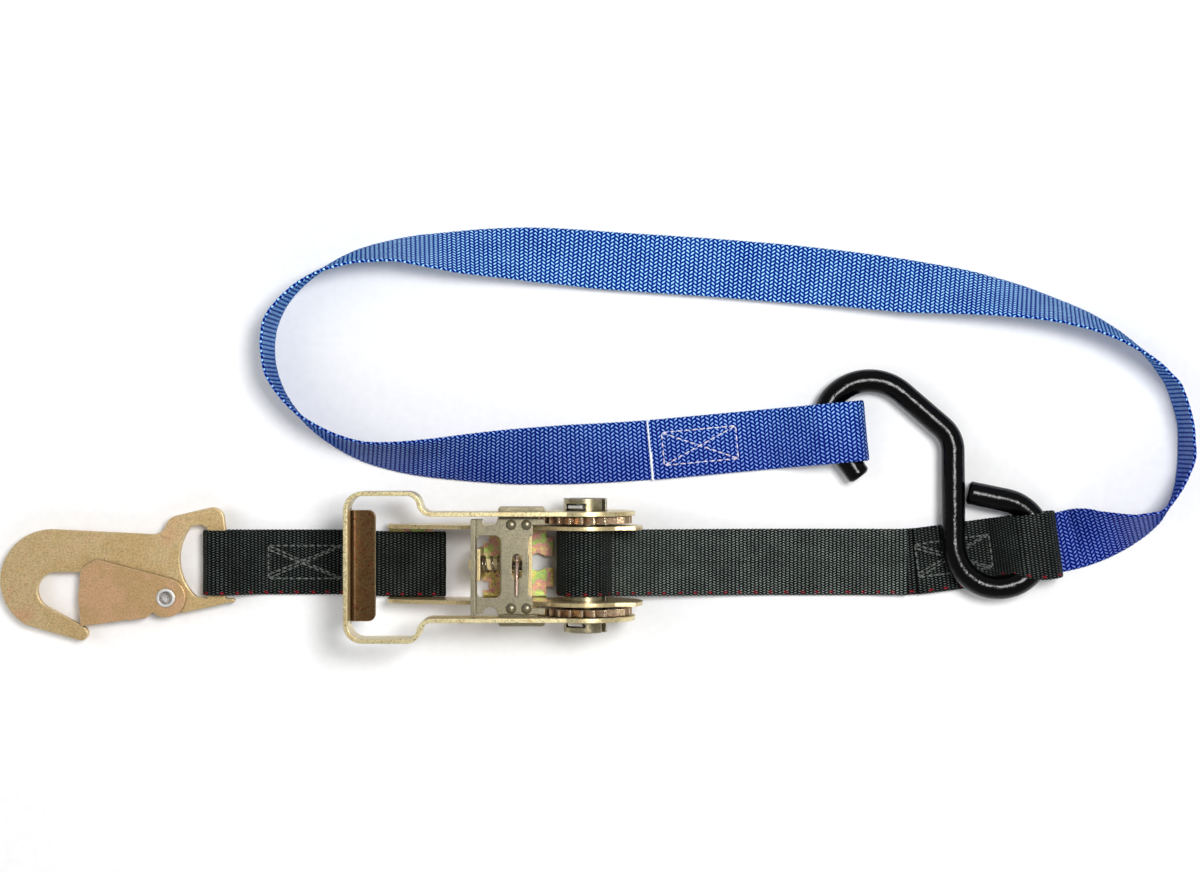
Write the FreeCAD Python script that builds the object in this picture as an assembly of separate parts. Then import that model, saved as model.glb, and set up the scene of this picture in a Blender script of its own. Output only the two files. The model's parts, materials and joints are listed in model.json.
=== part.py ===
import FreeCAD, Part
import math
import os

# Ratchet tie down, laid out flat on the ground: a flat snap hook, a short sewn strap, a ratchet
# buckle, a long black strap sewn round the eye of a coated S-hook, and a soft tie whose end loop
# is slipped over the S-hook's free leg.
# Millimetres. X runs along the tie down, Y across it, Z up from the ground.

V = FreeCAD.Vector
UP = V(0, 0, 1)

# ---- driving dimensions ----
ORIGIN_X, ORIGIN_Y = -2.77, 1.13       # centre of the whole layout, moved to the origin at the end
RUN_Y = -48.3                        # centreline of the straps and the ratchet
SPOOL_X, SPOOL_Z = -5.7, 21.5        # axis of the spool, along Y
WEB_T = 1.2                          # webbing thickness
WEB_W = 25.4                         # black webbing width
TIE_W = 23.0                         # blue webbing width
GAP = 0.05                           # air between layers of webbing

# ratchet frame
FRAME_T = 1.5
FRAME_INSIDE = 26.7                  # between the two side walls
FRAME_LEFT = -75.3                   # end of the frame, from the spool axis
FLOOR_Z = 1.6                        # underside of the frame's floor
BAR_RIGHT = -58.5                    # right edge of the strap bar
FLOOR_LEFT, FLOOR_RIGHT = -39.3, -12.3
CAM_R, EAR_R = 16.0, 21.5            # low arc where the pawl works, and the lobe that lifts it
BORE_R = 8.25                        # holes for the mandrel

# mandrel and ratchet wheels
MANDREL_R = 8.15
MANDREL_L = 50.0
SLOT_W = 3.2                         # gap between the two halves, for two layers of webbing
SLOT_ANGLE = 30.0
WHEEL_R, WHEEL_ROOT = 17.5, 14.9
WHEEL_T = 2.6
WHEEL_IN = 15.75                     # inner face of each wheel from the centreline
TEETH = 24
TOOTH_LAND = 2.5                     # degrees of tip on each tooth
TOOTH_PHASE = 2.6                    # angle of one steep flank
WRAP_R = 10.9                        # outside of the wound webbing
PIN_Y, PIN_SLOT_W, PIN_SLOT_L = 21.8, 2.6, 8.4
PIN_R = 0.9

# handle
HANDLE_T = 1.65
ARM_OUT = 20.35                      # outer face of each arm from the centreline
GRIP_OUT = 27.9                      # outer face of the wide end
GRIP_LEFT = -88.8
ARM_LOW, ARM_HIGH = 3.0, 17.5        # the strip's edges above the spool axis
HANDLE_EAR_R = 18.7
FLANGE_W, FLANGE_L = 9.0, 41.5

# drive pawl
PLATE_LOW, PLATE_T = 9.7, 1.6
PLATE_HALF_W = 17.6
PLATE_LEFT = -42.0
TIP_X = -14.9                        # pawl tips at rest, just clear of the teeth
PAWL_TRAVEL_IN, PAWL_TRAVEL_OUT = 1.4, 3.2
EAR_PLATE_LEFT = -32.2
EAR_PLATE_LOW = PLATE_LOW - PLATE_T  # doublers under the plate, whose ears slide in the arms
RIVET_X = (-27.4, -21.7)
RIVET_Y = 15.5
BRIDGE_X, BRIDGE_T = -31.6, 1.2      # cross strip that the pawl's spring pushes against
SPRING_Z = 6.5

# lock pawl
LOCK_Z, LOCK_T = -4.12, 1.5
LOCK_LEFT, LOCK_RIGHT, LOCK_TIP = -31.5, -20.0, -17.45
LOCK_IN, LOCK_OUT = 1.6, 3.2
TAB_HALF_W, TAB_TOP = 6.0, 22.3

# snap hook
HOOK_X, HOOK_Y = -209.4, RUN_Y - 6.85
HOOK_Z = 5.3                         # middle of the plate
HOOK_T = 3.0
HOOK_R = 19.6                        # outside of the bight
THROAT_R = 7.0
HOOK_BAR = (59.3, 66.3)              # left and right edges of the strap bar
RIVET = (43.8, -6.5)
CHEEK_T, CHEEK_GAP = 1.1, 0.15

# S-hook
ROD_R, COAT_R = 3.97, 4.5
EYE_R = 16.8
SHANK_L = 35.3
SHOULDER_R = 12.0
S_HOOK_AT = V(134.2, -40.8, 8.95)    # foot of the straight shank
S_HOOK_TILT = -2.86                  # the hook leans on the webbing at its eye

# long strap
BEND_X = 123.1                       # where the strap turns towards the S-hook, from the spool
BEND_ANGLE = 7.7

# soft tie
# Outer edge of the webbing on the ground, and how far the webbing is tilted up towards its inner
# edge: 0 is flat and 90 is on edge.
TIE_PATH = [
    (118.2, -59.1, 0), (148.2, -55.8, 0), (172.0, -53.2, 0), (185.6, -50.4, 0),
    (197.1, -46.2, 34), (207.9, -40.0, 58), (216.0, -32.3, 74), (223.0, -8.0, 90),
    (218.7, 18.5, 89), (203.3, 37.7, 78), (176.7, 52.7, 64), (147.5, 62.4, 44),
    (117.8, 68.1, 24), (66.0, 74.2, 10), (0.0, 78.9, 11), (-25.8, 80.3, 22),
    (-55.1, 79.1, 42), (-79.7, 75.8, 65), (-107.0, 64.7, 83), (-124.4, 43.9, 95),
    (-124.7, 23.1, 93), (-112.8, 3.9, 83), (-90.5, -10.4, 70), (-61.6, -16.6, 47),
    (-38.5, -18.5, 27), (-10.0, -18.5, 6),
]
LOOP_AT = (21.2, -5.2)               # start of the sewn soft loop's centreline
LOOP_ANGLE = 5.3
LOOP_L = 80.6


# ---- helpers ----
def polar(radius, degrees):
    return (radius * math.cos(math.radians(degrees)), radius * math.sin(math.radians(degrees)))


def outline(corners):
    """A closed wire in XY. A corner is (x, y) or, when it is rounded, (x, y, radius)."""
    ends = []
    for i, corner in enumerate(corners):
        here = V(corner[0], corner[1], 0)
        if len(corner) == 2:
            ends.append((here, None, here))
            continue
        before, after = corners[i - 1], corners[(i + 1) % len(corners)]
        back = (V(before[0], before[1], 0) - here).normalize()
        on = (V(after[0], after[1], 0) - here).normalize()
        half = back.getAngle(on) / 2
        middle = (back + on).normalize()
        cut = corner[2] / math.tan(half)
        top = middle * (corner[2] / math.sin(half) - corner[2])
        ends.append((here + back * cut, here + top, here + on * cut))
    edges = []
    for i, (start, middle, end) in enumerate(ends):
        if middle is not None:
            edges.append(Part.Arc(start, middle, end).toShape())
        following = ends[(i + 1) % len(ends)][0]
        if end.distanceToPoint(following) > 1e-6:
            edges.append(Part.makeLine(end, following))
    return Part.Wire(edges)


def trace(start, heading, steps, offset=0.0):
    """Edges of a bent path in XY, offset to its left. A step is (length,) or (radius, turn)."""
    def left_of(degrees):
        return V(-math.sin(math.radians(degrees)), math.cos(math.radians(degrees)), 0)

    at = V(start[0], start[1], 0) + left_of(heading) * offset
    edges = []
    for step in steps:
        if len(step) == 1:
            end = at + left_of(heading - 90) * step[0]
            edges.append(Part.makeLine(at, end))
        else:
            radius, turn = step
            side = math.copysign(1, turn)
            own = radius - side * offset
            centre = at + left_of(heading) * side * own
            middle = centre - left_of(heading + turn / 2) * side * own
            end = centre - left_of(heading + turn) * side * own
            edges.append(Part.Arc(at, middle, end).toShape())
            heading += turn
        at = end
    return edges


def strip_face(start, heading, steps, thickness):
    """The face that a bent strip shows on its edge."""
    one = trace(start, heading, steps, thickness / 2)
    other = trace(start, heading, steps, -thickness / 2)
    begin = Part.makeLine(other[0].firstVertex().Point, one[0].firstVertex().Point)
    finish = Part.makeLine(one[-1].lastVertex().Point, other[-1].lastVertex().Point)
    edges = one + [finish] + other + [begin]
    return Part.Face(Part.Wire(Part.__sortEdges__(edges)))


def s_bend(length, rise):
    """Two equal arcs that move a path sideways by rise over length."""
    turn = 2 * math.degrees(math.atan2(abs(rise), length))
    radius = length / (2 * math.sin(math.radians(turn)))
    side = math.copysign(turn, rise)
    return [(radius, side), (radius, -side)]


def bent_wire(start, heading, steps, radius):
    """Round rod along a bent path in XY."""
    path = Part.Wire(trace(start, heading, steps))
    towards = V(*polar(1, heading), 0)
    section = Part.Wire(Part.makeCircle(radius, V(start[0], start[1], 0), towards))
    return path.makePipeShell([section], True, True)


def plate(corners, low, high):
    """A flat plate whose outline is in XY."""
    return prism(Part.Face(outline(corners)), low, high)


def prism(face, low, high):
    solid = face.extrude(V(0, 0, high - low))
    solid.translate(V(0, 0, low))
    return solid


def upright(shape):
    """Turn a shape drawn in XY and raised along Z so that it stands in XZ and runs along Y."""
    shape.rotate(V(0, 0, 0), V(1, 0, 0), 90)
    return shape


def side_plate(corners, low, high):
    """A plate whose outline is in XZ, between two values of Y."""
    return upright(plate(corners, -high, -low))


def box(x0, x1, y0, y1, z0, z1):
    return Part.makeBox(x1 - x0, y1 - y0, z1 - z0, V(x0, y0, z0))


def rod(start, end, radius):
    return Part.makeCylinder(radius, (end - start).Length, start, end - start)


def across(radius, half_length, x=0.0, z=0.0):
    """A cylinder along Y."""
    return rod(V(x, -half_length, z), V(x, half_length, z), radius)


def mirrored(shape):
    return shape.mirror(V(0, 0, 0), V(0, 1, 0))


def both_sides(shape):
    return Part.makeCompound([shape, mirrored(shape)])


def coil(length, mean_r, wire_r, turns):
    """A compression spring along +X from the origin."""
    helix = Part.makeHelix((length - 2 * wire_r) / turns, length - 2 * wire_r, mean_r)
    section = Part.Wire(Part.makeCircle(wire_r, V(mean_r, 0, 0), V(0, 1, 0)))
    spring = helix.makePipeShell([section], True, True)
    spring.rotate(V(0, 0, 0), V(0, 1, 0), 90)
    spring.translate(V(wire_r, 0, 0))
    return spring


def place(shape, x=0.0, y=0.0, z=0.0, turn=0.0):
    moved = shape.copy()
    moved.rotate(V(0, 0, 0), UP, turn)
    moved.translate(V(x, y, z))
    return moved


def save(name, shape):
    moved = shape.copy()
    moved.translate(V(-ORIGIN_X, -ORIGIN_Y, 0))
    solids = moved.Solids
    kept = solids[0] if len(solids) == 1 else Part.makeCompound(solids)
    kept.exportStep("parts/" + name + ".step")


def save_ratchet(name, shape):
    """Ratchet parts are drawn about the spool axis."""
    save(name, place(shape, SPOOL_X, RUN_Y, SPOOL_Z))


# ---- ratchet frame and lock pawl ----
def frame_side(low, high):
    """Side of the frame between two values of Y: wall, low cam arc and lobe."""
    floor = FLOOR_Z - SPOOL_Z
    foot_angle = -180 - math.degrees(math.asin(floor / EAR_R))
    cam_start, cam_end, lobe_end = 152.0, 46.0, 30.0
    wall = side_plate([polar(EAR_R, foot_angle), (FRAME_LEFT, floor), (FRAME_LEFT, -6.9, 6.0),
                       (-45.0, 1.0, 12.0), (-24.0, 1.0, 4.0), polar(CAM_R, cam_start), (0, 0)],
                      low, high)
    cam = rod(V(0, low, 0), V(0, high, 0), CAM_R)
    lobe_foot, lobe_top = V(*polar(EAR_R, foot_angle), 0), V(*polar(EAR_R, lobe_end), 0)
    lobe_middle = V(*polar(EAR_R, (foot_angle + lobe_end) / 2), 0)
    ramp = V(*polar(CAM_R, cam_end), 0)
    lobe = Part.Wire([Part.Arc(lobe_foot, lobe_middle, lobe_top).toShape(),
                      Part.makeLine(lobe_top, ramp), Part.makeLine(ramp, V(0, 0, 0)),
                      Part.makeLine(V(0, 0, 0), lobe_foot)])
    lobe = upright(prism(Part.Face(lobe), -high, -low))
    return wall.fuse(cam).fuse(lobe).removeSplitter()


def make_base_frame():
    inside = FRAME_INSIDE / 2
    outside = inside + FRAME_T
    floor = FLOOR_Z - SPOOL_Z
    wall = frame_side(inside, outside)
    reach = 2 * EAR_R
    section = [(-outside, reach), (-outside, floor, 2.3), (outside, floor, 2.3), (outside, reach),
               (inside, reach), (inside, floor + FRAME_T, 0.8),
               (-inside, floor + FRAME_T, 0.8), (-inside, reach)]
    channel = plate(section, FRAME_LEFT, FLOOR_RIGHT)
    channel.rotate(V(0, 0, 0), V(1, 1, 1), 120)
    left_part = channel.common(frame_side(-outside, outside))
    walls = wall.fuse(mirrored(wall))
    right_part = walls.common(box(FLOOR_RIGHT, EAR_R + 1, -outside, outside, -EAR_R, EAR_R))
    frame = left_part.fuse(right_part).removeSplitter()

    # window between the strap bar and the floor
    frame = frame.cut(box(BAR_RIGHT, FLOOR_LEFT, -inside, inside, floor, floor + FRAME_T + 1))
    # relieved corners and the half-round notch of the floor's right edge
    for side in (1, -1):
        nearer, further = sorted((side * 9.5, side * inside))
        frame = frame.cut(box(-15.0, FLOOR_RIGHT, nearer, further, floor, floor + 3))
        nearer, further = sorted((side * (TAB_HALF_W + 1.4), side * (inside - 2.6)))
        frame = frame.cut(box(FLOOR_LEFT, FLOOR_LEFT + 2.2, nearer, further, floor, floor + 3))
    notch = rod(V(-18.3, 0, floor), V(-18.3, 0, floor + 3), 3.3)
    frame = frame.cut(notch).cut(box(-18.3, FLOOR_RIGHT, -2.2, 2.2, floor, floor + 3))

    # upright tab that the lock pawl's spring pushes on
    top = TAB_TOP - SPOOL_Z
    tab = box(FLOOR_LEFT - FRAME_T, FLOOR_LEFT, -TAB_HALF_W, TAB_HALF_W, floor, top)
    tab_slot = box(FLOOR_LEFT - 2, FLOOR_LEFT + 1, -2.4, 2.4, LOCK_Z - 0.95, LOCK_Z + 0.95)
    frame = frame.fuse(tab).cut(tab_slot)

    # slots for the lock pawl and the mandrel's bearing holes
    slot_z = LOCK_T / 2 + 0.1
    frame = frame.cut(box(LOCK_LEFT - LOCK_OUT - 0.2, LOCK_RIGHT + LOCK_IN + 0.2,
                          -outside, outside, LOCK_Z - slot_z, LOCK_Z + slot_z))
    return frame.cut(across(BORE_R, outside + 1)).removeSplitter()


def make_lock_pawl():
    edge, tip_in = 18.3, FRAME_INSIDE / 2 + FRAME_T + 0.5
    tongue, tongue_left = 2.2, FLOOR_LEFT - FRAME_T - 3.2
    half = [(LOCK_TIP, edge), (LOCK_LEFT, edge, 1.5), (LOCK_LEFT, tongue, 0.8),
            (tongue_left, tongue, 1.0)]
    shoulder = [(LOCK_RIGHT, -tip_in), (LOCK_RIGHT, tip_in)]
    below = [(x, -y) + tuple(r) for x, y, *r in reversed(half)]
    corners = half + below + [(LOCK_TIP, -tip_in)] + shoulder + [(LOCK_TIP, tip_in)]
    return plate(corners, LOCK_Z - LOCK_T / 2, LOCK_Z + LOCK_T / 2)


def make_lock_pawl_spring():
    length = LOCK_LEFT - FLOOR_LEFT - 0.1
    return place(coil(length, 2.95, 0.4, 3.0), FLOOR_LEFT + 0.05, 0, LOCK_Z)


# ---- spool ----
def make_mandrel_half(side):
    """One half of the split shaft, with a slot at each end for its retaining pin."""
    shaft = across(MANDREL_R, MANDREL_L / 2)
    half_space = box(-MANDREL_R, MANDREL_R, -MANDREL_L, MANDREL_L, SLOT_W / 2, MANDREL_R + 1)
    slot = box(-PIN_SLOT_L / 2, PIN_SLOT_L / 2, -PIN_SLOT_W / 2, PIN_SLOT_W / 2,
               -MANDREL_R - 1, MANDREL_R + 1)
    half = shaft.common(half_space)
    for y in (-PIN_Y, PIN_Y):
        half = half.cut(place(slot, 0, y, 0))
    if side < 0:
        half.rotate(V(0, 0, 0), V(0, 1, 0), 180)
    half.rotate(V(0, 0, 0), V(0, 1, 0), -SLOT_ANGLE)
    return half


def make_ratchet_wheels():
    """Two saw-toothed wheels, each with a key across its bore that fits the mandrel's slot."""
    pitch = 360 / TEETH
    corners = []
    for tooth in range(TEETH):
        flank = TOOTH_PHASE + tooth * pitch
        corners.append(polar(WHEEL_ROOT, flank))
        corners.append(polar(WHEEL_R, flank))
        corners.append(polar(WHEEL_R, flank + TOOTH_LAND))
    wheel = upright(plate(corners, -WHEEL_IN - WHEEL_T, -WHEEL_IN))
    wheel = wheel.cut(across(MANDREL_R + 0.05, ARM_OUT))
    key = box(-MANDREL_R - 0.5, MANDREL_R + 0.5, WHEEL_IN, WHEEL_IN + WHEEL_T,
              -SLOT_W / 2 + 0.1, SLOT_W / 2 - 0.1)
    key.rotate(V(0, 0, 0), V(0, 1, 0), -SLOT_ANGLE)
    wheel = wheel.fuse(key).removeSplitter()
    return both_sides(wheel)


def make_mandrel_pins():
    """A wire staple through each end of the mandrel, its legs lying in the slots."""
    leg, depth, corner = 6.2, 7.1, 1.6
    steps = [(leg - corner,), (corner, -90), (2 * (depth - corner),), (corner, -90), (leg - corner,)]
    staple = upright(bent_wire((leg / 2, -depth), 180, steps, PIN_R))
    staple.rotate(V(0, 0, 0), V(0, 1, 0), -SLOT_ANGLE)
    return Part.makeCompound([place(staple, 0, -PIN_Y, 0), place(staple, 0, PIN_Y, 0)])


def make_spool_webbing():
    """The webbing wound on the mandrel, with the two layers that pass through its slot."""
    half = WEB_W / 2
    inner = MANDREL_R + 0.2
    wound = across(WRAP_R, half).cut(across(inner, half + 1))
    layers = box(-inner - 0.5, inner + 0.5, -half, half, -WEB_T - GAP, WEB_T + GAP)
    layers.rotate(V(0, 0, 0), V(0, 1, 0), -SLOT_ANGLE)
    return wound.fuse(layers).removeSplitter()


# ---- handle and drive pawl ----
def make_handle_frame():
    """One bent strip on edge: two arms with round ears, an S-bend in each, and the grip end."""
    arm_mid = ARM_OUT - HANDLE_T / 2
    grip_mid = GRIP_OUT - HANDLE_T / 2
    corner = 6.0
    bend_start, bend_end = -56.5, -65.5
    joggle = s_bend(bend_start - bend_end, grip_mid - arm_mid)
    straight = (HANDLE_EAR_R - bend_start,)
    wide = (bend_end - GRIP_LEFT - HANDLE_T / 2 - corner,)
    across_end = (2 * (grip_mid - corner),)
    left_then_down = [(corner, 90), across_end, (corner, 90)]
    out_steps = [straight] + [(r, -t) for r, t in joggle] + [wide]
    back_steps = [wide] + [(r, -t) for r, t in reversed(joggle)] + [straight]
    steps = out_steps + left_then_down + back_steps
    strip = strip_face((HANDLE_EAR_R, arm_mid), 180, steps, HANDLE_T)
    strip = prism(strip, -HANDLE_EAR_R - 1, HANDLE_EAR_R + 1)

    reach = GRIP_OUT + 1
    arm = side_plate([(GRIP_LEFT - 1, ARM_LOW), (GRIP_LEFT - 1, ARM_HIGH), (-6.6, ARM_HIGH),
                      (0, 0), (-16.5, -8.5), (-20.5, ARM_LOW, 7.0)], -reach, reach)
    handle = strip.common(arm.fuse(across(HANDLE_EAR_R, reach)))

    # grip flange turned in from the lower edge of the end
    inner = GRIP_LEFT + HANDLE_T
    half = FLANGE_L / 2
    flange = plate([(inner - 0.8, -half), (inner - 0.8, half), (inner + FLANGE_W, half, 2.7),
                    (inner + FLANGE_W, -half, 2.7)], ARM_LOW, ARM_LOW + HANDLE_T)
    bend = 1.6
    fillet = side_plate([(inner, ARM_LOW + HANDLE_T), (inner + bend, ARM_LOW + HANDLE_T),
                         (inner, ARM_LOW + HANDLE_T + bend)], -half, half)
    hollow = across(bend, half, inner + bend, ARM_LOW + HANDLE_T + bend)
    handle = handle.fuse(flange).fuse(fillet.cut(hollow))

    # bearing holes, and the slots that the pawl's ears slide in
    handle = handle.cut(across(BORE_R, GRIP_OUT))
    ear_left, ear_right = EAR_PLATE_LEFT - PAWL_TRAVEL_OUT - 0.6, TIP_X + PAWL_TRAVEL_IN + 0.6
    slot = side_plate([(ear_left, EAR_PLATE_LOW - 0.2, 0.9), (ear_left, PLATE_LOW + 0.2, 0.9),
                       (ear_right, PLATE_LOW + 0.2, 0.9), (ear_right, EAR_PLATE_LOW - 0.2, 0.9)],
                      -GRIP_OUT, GRIP_OUT)
    return handle.cut(slot).removeSplitter()


def make_spring_bridge():
    """Cross strip between the arms that the drive pawl's spring pushes against."""
    half = ARM_OUT - HANDLE_T - 0.03
    low, high = 3.6, EAR_PLATE_LOW - 0.7
    strip = plate([(-half, low), (-half, high), (-6.0, high, 0.8), (-4.5, 9.2, 1.5),
                   (4.5, 9.2, 1.5), (6.0, high, 0.8), (half, high), (half, low)],
                  BRIDGE_X, BRIDGE_X + BRIDGE_T)
    strip.rotate(V(0, 0, 0), V(1, 1, 1), 120)
    foot = 5.0
    lug = box(BRIDGE_X, BRIDGE_X + foot, half - BRIDGE_T, half, low, high)
    return strip.fuse(lug).fuse(mirrored(lug)).removeSplitter()


def make_drive_pawl():
    """H-shaped plate with an upturned finger pull and a downturned tab for its spring."""
    half = PLATE_HALF_W
    window_left, web_left, web_right = -40.0, -31.1, -18.9
    window_half = 11.5
    tip_in, lobe_clear = 15.4, -19.4
    leg = [(TIP_X, half), (PLATE_LEFT, half)]
    corners = (leg + [(PLATE_LEFT, -half), (TIP_X, -half), (TIP_X, -tip_in), (lobe_clear, -tip_in),
                      (lobe_clear, -window_half), (web_right - 2.2, -window_half, 2.0),
                      (web_right - 2.2, window_half, 2.0), (lobe_clear, window_half),
                      (lobe_clear, tip_in), (TIP_X, tip_in)])
    high = PLATE_LOW + PLATE_T
    pawl = plate(corners, PLATE_LOW, high)
    pawl = pawl.cut(plate([(window_left, -window_half, 2.0), (window_left, window_half, 2.0),
                           (web_left, window_half, 2.5), (web_left, -window_half, 2.5)],
                          PLATE_LOW, high))
    pawl = pawl.cut(plate([(-27.1, -4.65, 1.85), (-27.1, 4.65, 1.85),
                           (-23.3, 4.65, 1.85), (-23.3, -4.65, 1.85)], PLATE_LOW, high))
    for y in (-half, half):
        pawl = pawl.cut(rod(V(-35.2, y, PLATE_LOW), V(-35.2, y, high), 2.7))
    for x in RIVET_X:
        for y in (-RIVET_Y, RIVET_Y):
            pawl = pawl.cut(rod(V(x, y, PLATE_LOW), V(x, y, high), 1.35))
    pull_top = ARM_HIGH + 0.6
    pull = side_plate([(PLATE_LEFT, PLATE_LOW), (PLATE_LEFT + 1.8, PLATE_LOW),
                       (PLATE_LEFT + 1.8, pull_top), (PLATE_LEFT, pull_top)], -half, half)
    tab = box(web_right - 2.2 - 1.5, web_right - 2.2, -4.0, 4.0, SPRING_Z - 2.4, PLATE_LOW)
    return pawl.fuse(pull).fuse(tab).removeSplitter()


def make_pawl_ear_plates():
    """Doubler under each side of the drive pawl, whose ear slides in the arm's slot."""
    inner, lobe_clear = 12.9, -20.4
    beside_lobe, gear_clear = 15.4, -17.6
    outer = ARM_OUT + 1.9
    beyond_wheel = ARM_OUT - HANDLE_T - 0.1
    ear = plate([(EAR_PLATE_LEFT, inner, 1.0), (lobe_clear, inner), (lobe_clear, beside_lobe),
                 (gear_clear, beside_lobe), (gear_clear, beyond_wheel), (TIP_X, beyond_wheel),
                 (TIP_X, outer, 1.2), (EAR_PLATE_LEFT, outer, 1.2)], EAR_PLATE_LOW, PLATE_LOW)
    for x in RIVET_X:
        ear = ear.cut(rod(V(x, RIVET_Y, EAR_PLATE_LOW), V(x, RIVET_Y, PLATE_LOW), 1.35))
    return both_sides(ear)


def make_pawl_rivets():
    """Domed rivets that hold the doublers."""
    high = PLATE_LOW + PLATE_T
    head_r, head_h = 1.95, 0.95
    ball_r = (head_r ** 2 + head_h ** 2) / (2 * head_h)
    rivets = []
    for x in RIVET_X:
        for y in (-RIVET_Y, RIVET_Y):
            ball = Part.makeSphere(ball_r, V(x, y, high + head_h - ball_r))
            dome = ball.common(rod(V(x, y, high), V(x, y, high + head_h), head_r))
            foot = rod(V(x, y, EAR_PLATE_LOW - 0.5), V(x, y, EAR_PLATE_LOW), 1.6)
            shank = rod(V(x, y, EAR_PLATE_LOW), V(x, y, high), 1.3)
            rivets.append(dome.fuse(shank).fuse(foot).removeSplitter())
    return Part.makeCompound(rivets)


def make_drive_pawl_spring():
    start = BRIDGE_X + BRIDGE_T + 0.05
    length = -18.9 - 2.2 - 1.5 - 0.05 - start
    return place(coil(length, 1.95, 0.35, 5.0), start, 0, SPRING_Z)


def make_pawl_split_pin():
    """Bent wire that comes up through the drive pawl's slot and lies across the plate."""
    radius = 0.6
    top = PLATE_LOW + PLATE_T
    steps = [(7.0,), (2.2, -24), (5.2,), (1.6, 50), (1.2,)]
    pin = bent_wire((-10.8, top + radius + 0.03), 0, steps, radius)
    pin.rotate(V(0, 0, 0), V(1, 1, 1), 120)
    return place(pin, -25.3, 0, 0)


# ---- snap hook ----
def hook_outline():
    tip_turn = 240.0
    arc_end = polar(HOOK_R, tip_turn)
    throat = V(1.5, -3.8, 0)
    floor_angle = 242.5
    throat_low = throat + V(*polar(THROAT_R, floor_angle), 0)
    throat_top = throat + V(0, THROAT_R, 0)
    left, right = HOOK_BAR
    bar_top, bar_low = 19.9, -6.8

    def at(x, y):
        return V(x, y, 0)

    edges = [
        Part.Arc(at(0, HOOK_R), at(*polar(HOOK_R, (90 + tip_turn) / 2)), at(*arc_end)).toShape(),
        Part.makeLine(at(*arc_end), at(11.2, -22.9)),
        Part.Arc(at(11.2, -22.9), at(13.7, -20.9), at(12.3, -17.7)).toShape(),
        Part.makeLine(at(12.3, -17.7), throat_low),
        Part.Arc(throat_low, throat + V(*polar(THROAT_R, 166), 0), throat_top).toShape(),
        Part.makeLine(throat_top, at(12.0, 3.2)),
        Part.makeLine(at(12.0, 3.2), at(33.5, -4.6)),
        Part.Arc(at(33.5, -4.6), at(34.4, -8.8), at(37.4, -12.6)).toShape(),
        Part.makeLine(at(37.4, -12.6), at(49.8, -12.3)),
        Part.makeLine(at(49.8, -12.3), at(62.8, -9.6)),
        Part.makeLine(at(62.8, -9.6), at(68.4, -8.2)),
        Part.Arc(at(68.4, -8.2), at(69.7, -7.2), at(69.0, bar_low)).toShape(),
        Part.makeLine(at(69.0, bar_low), at(right, bar_low)),
        Part.makeLine(at(right, bar_low), at(right, bar_top)),
        Part.makeLine(at(right, bar_top), at(65.6, 24.4)),
        Part.Arc(at(65.6, 24.4), at(63.6, 27.3), at(60.2, 27.8)).toShape(),
        Part.makeLine(at(60.2, 27.8), at(48.0, 24.9)),
        Part.Arc(at(48.0, 24.9), at(44.9, 23.3), at(43.2, 20.2)).toShape(),
        Part.Arc(at(43.2, 20.2), at(41.4, 18.4), at(38.6, 17.7)).toShape(),
        Part.makeLine(at(38.6, 17.7), at(0, HOOK_R)),
    ]
    return Part.Wire(edges)


def make_snap_hook_plate():
    body = prism(Part.Face(hook_outline()), HOOK_Z - HOOK_T / 2, HOOK_Z + HOOK_T / 2)
    left = HOOK_BAR[0]
    slot = Part.Wire([
        Part.makeLine(V(left, 20.2, 0), V(left - 2.2, 21.3, 0)),
        Part.makeLine(V(left - 2.2, 21.3, 0), V(53.3, 20.8, 0)),
        Part.Arc(V(53.3, 20.8, 0), V(48.8, 8.0, 0), V(55.0, -6.1, 0)).toShape(),
        Part.makeLine(V(55.0, -6.1, 0), V(left, -6.8, 0)),
        Part.makeLine(V(left, -6.8, 0), V(left, 20.2, 0)),
    ])
    body = body.cut(prism(Part.Face(slot), 0, 2 * HOOK_Z))
    hole = rod(V(*RIVET, 0), V(*RIVET, 2 * HOOK_Z), 3.05)
    return place(body.cut(hole), HOOK_X, HOOK_Y, 0)


def make_hook_latch():
    """Folded keeper: two cheeks joined by a fold along the lower edge."""
    outer = HOOK_T / 2 + CHEEK_GAP + CHEEK_T
    inner = HOOK_T / 2 + CHEEK_GAP
    cx, cy = RIVET
    end_r = 7.4
    corners = [(11.4, -17.3, 0.6), (10.4, -6.5), (11.3, 5.0, 4.5), (17.4, 8.2, 4.0), (46.2, 0.6),
               (cx + end_r, cy + 1.5), (cx + end_r, cy - 2.0), (46.2, -13.6), (41.5, -13.8),
               (38.8, -11.9, 0.8), (35.8, -14.3, 0.6), (29.2, -15.1), (28.5, -14.5),
               (27.6, -15.2)]
    body = plate(corners, -outer, outer)
    round_end = rod(V(cx, cy, -outer), V(cx, cy, outer), end_r)
    body = body.cut(box(cx + 2.0, cx + end_r + 1, cy - end_r - 1, cy + end_r + 1, -outer, outer))
    body = body.fuse(round_end)
    pocket = plate([(5.0, -17.0), (36.4, -13.0), (38.4, -16.0), (60.0, -16.0), (60.0, 20.0),
                    (5.0, 20.0)], -inner, inner)
    body = body.cut(pocket)
    body = body.cut(rod(V(cx, cy, -outer), V(cx, cy, outer), 3.1))
    return place(body.removeSplitter(), HOOK_X, HOOK_Y, HOOK_Z)


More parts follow.
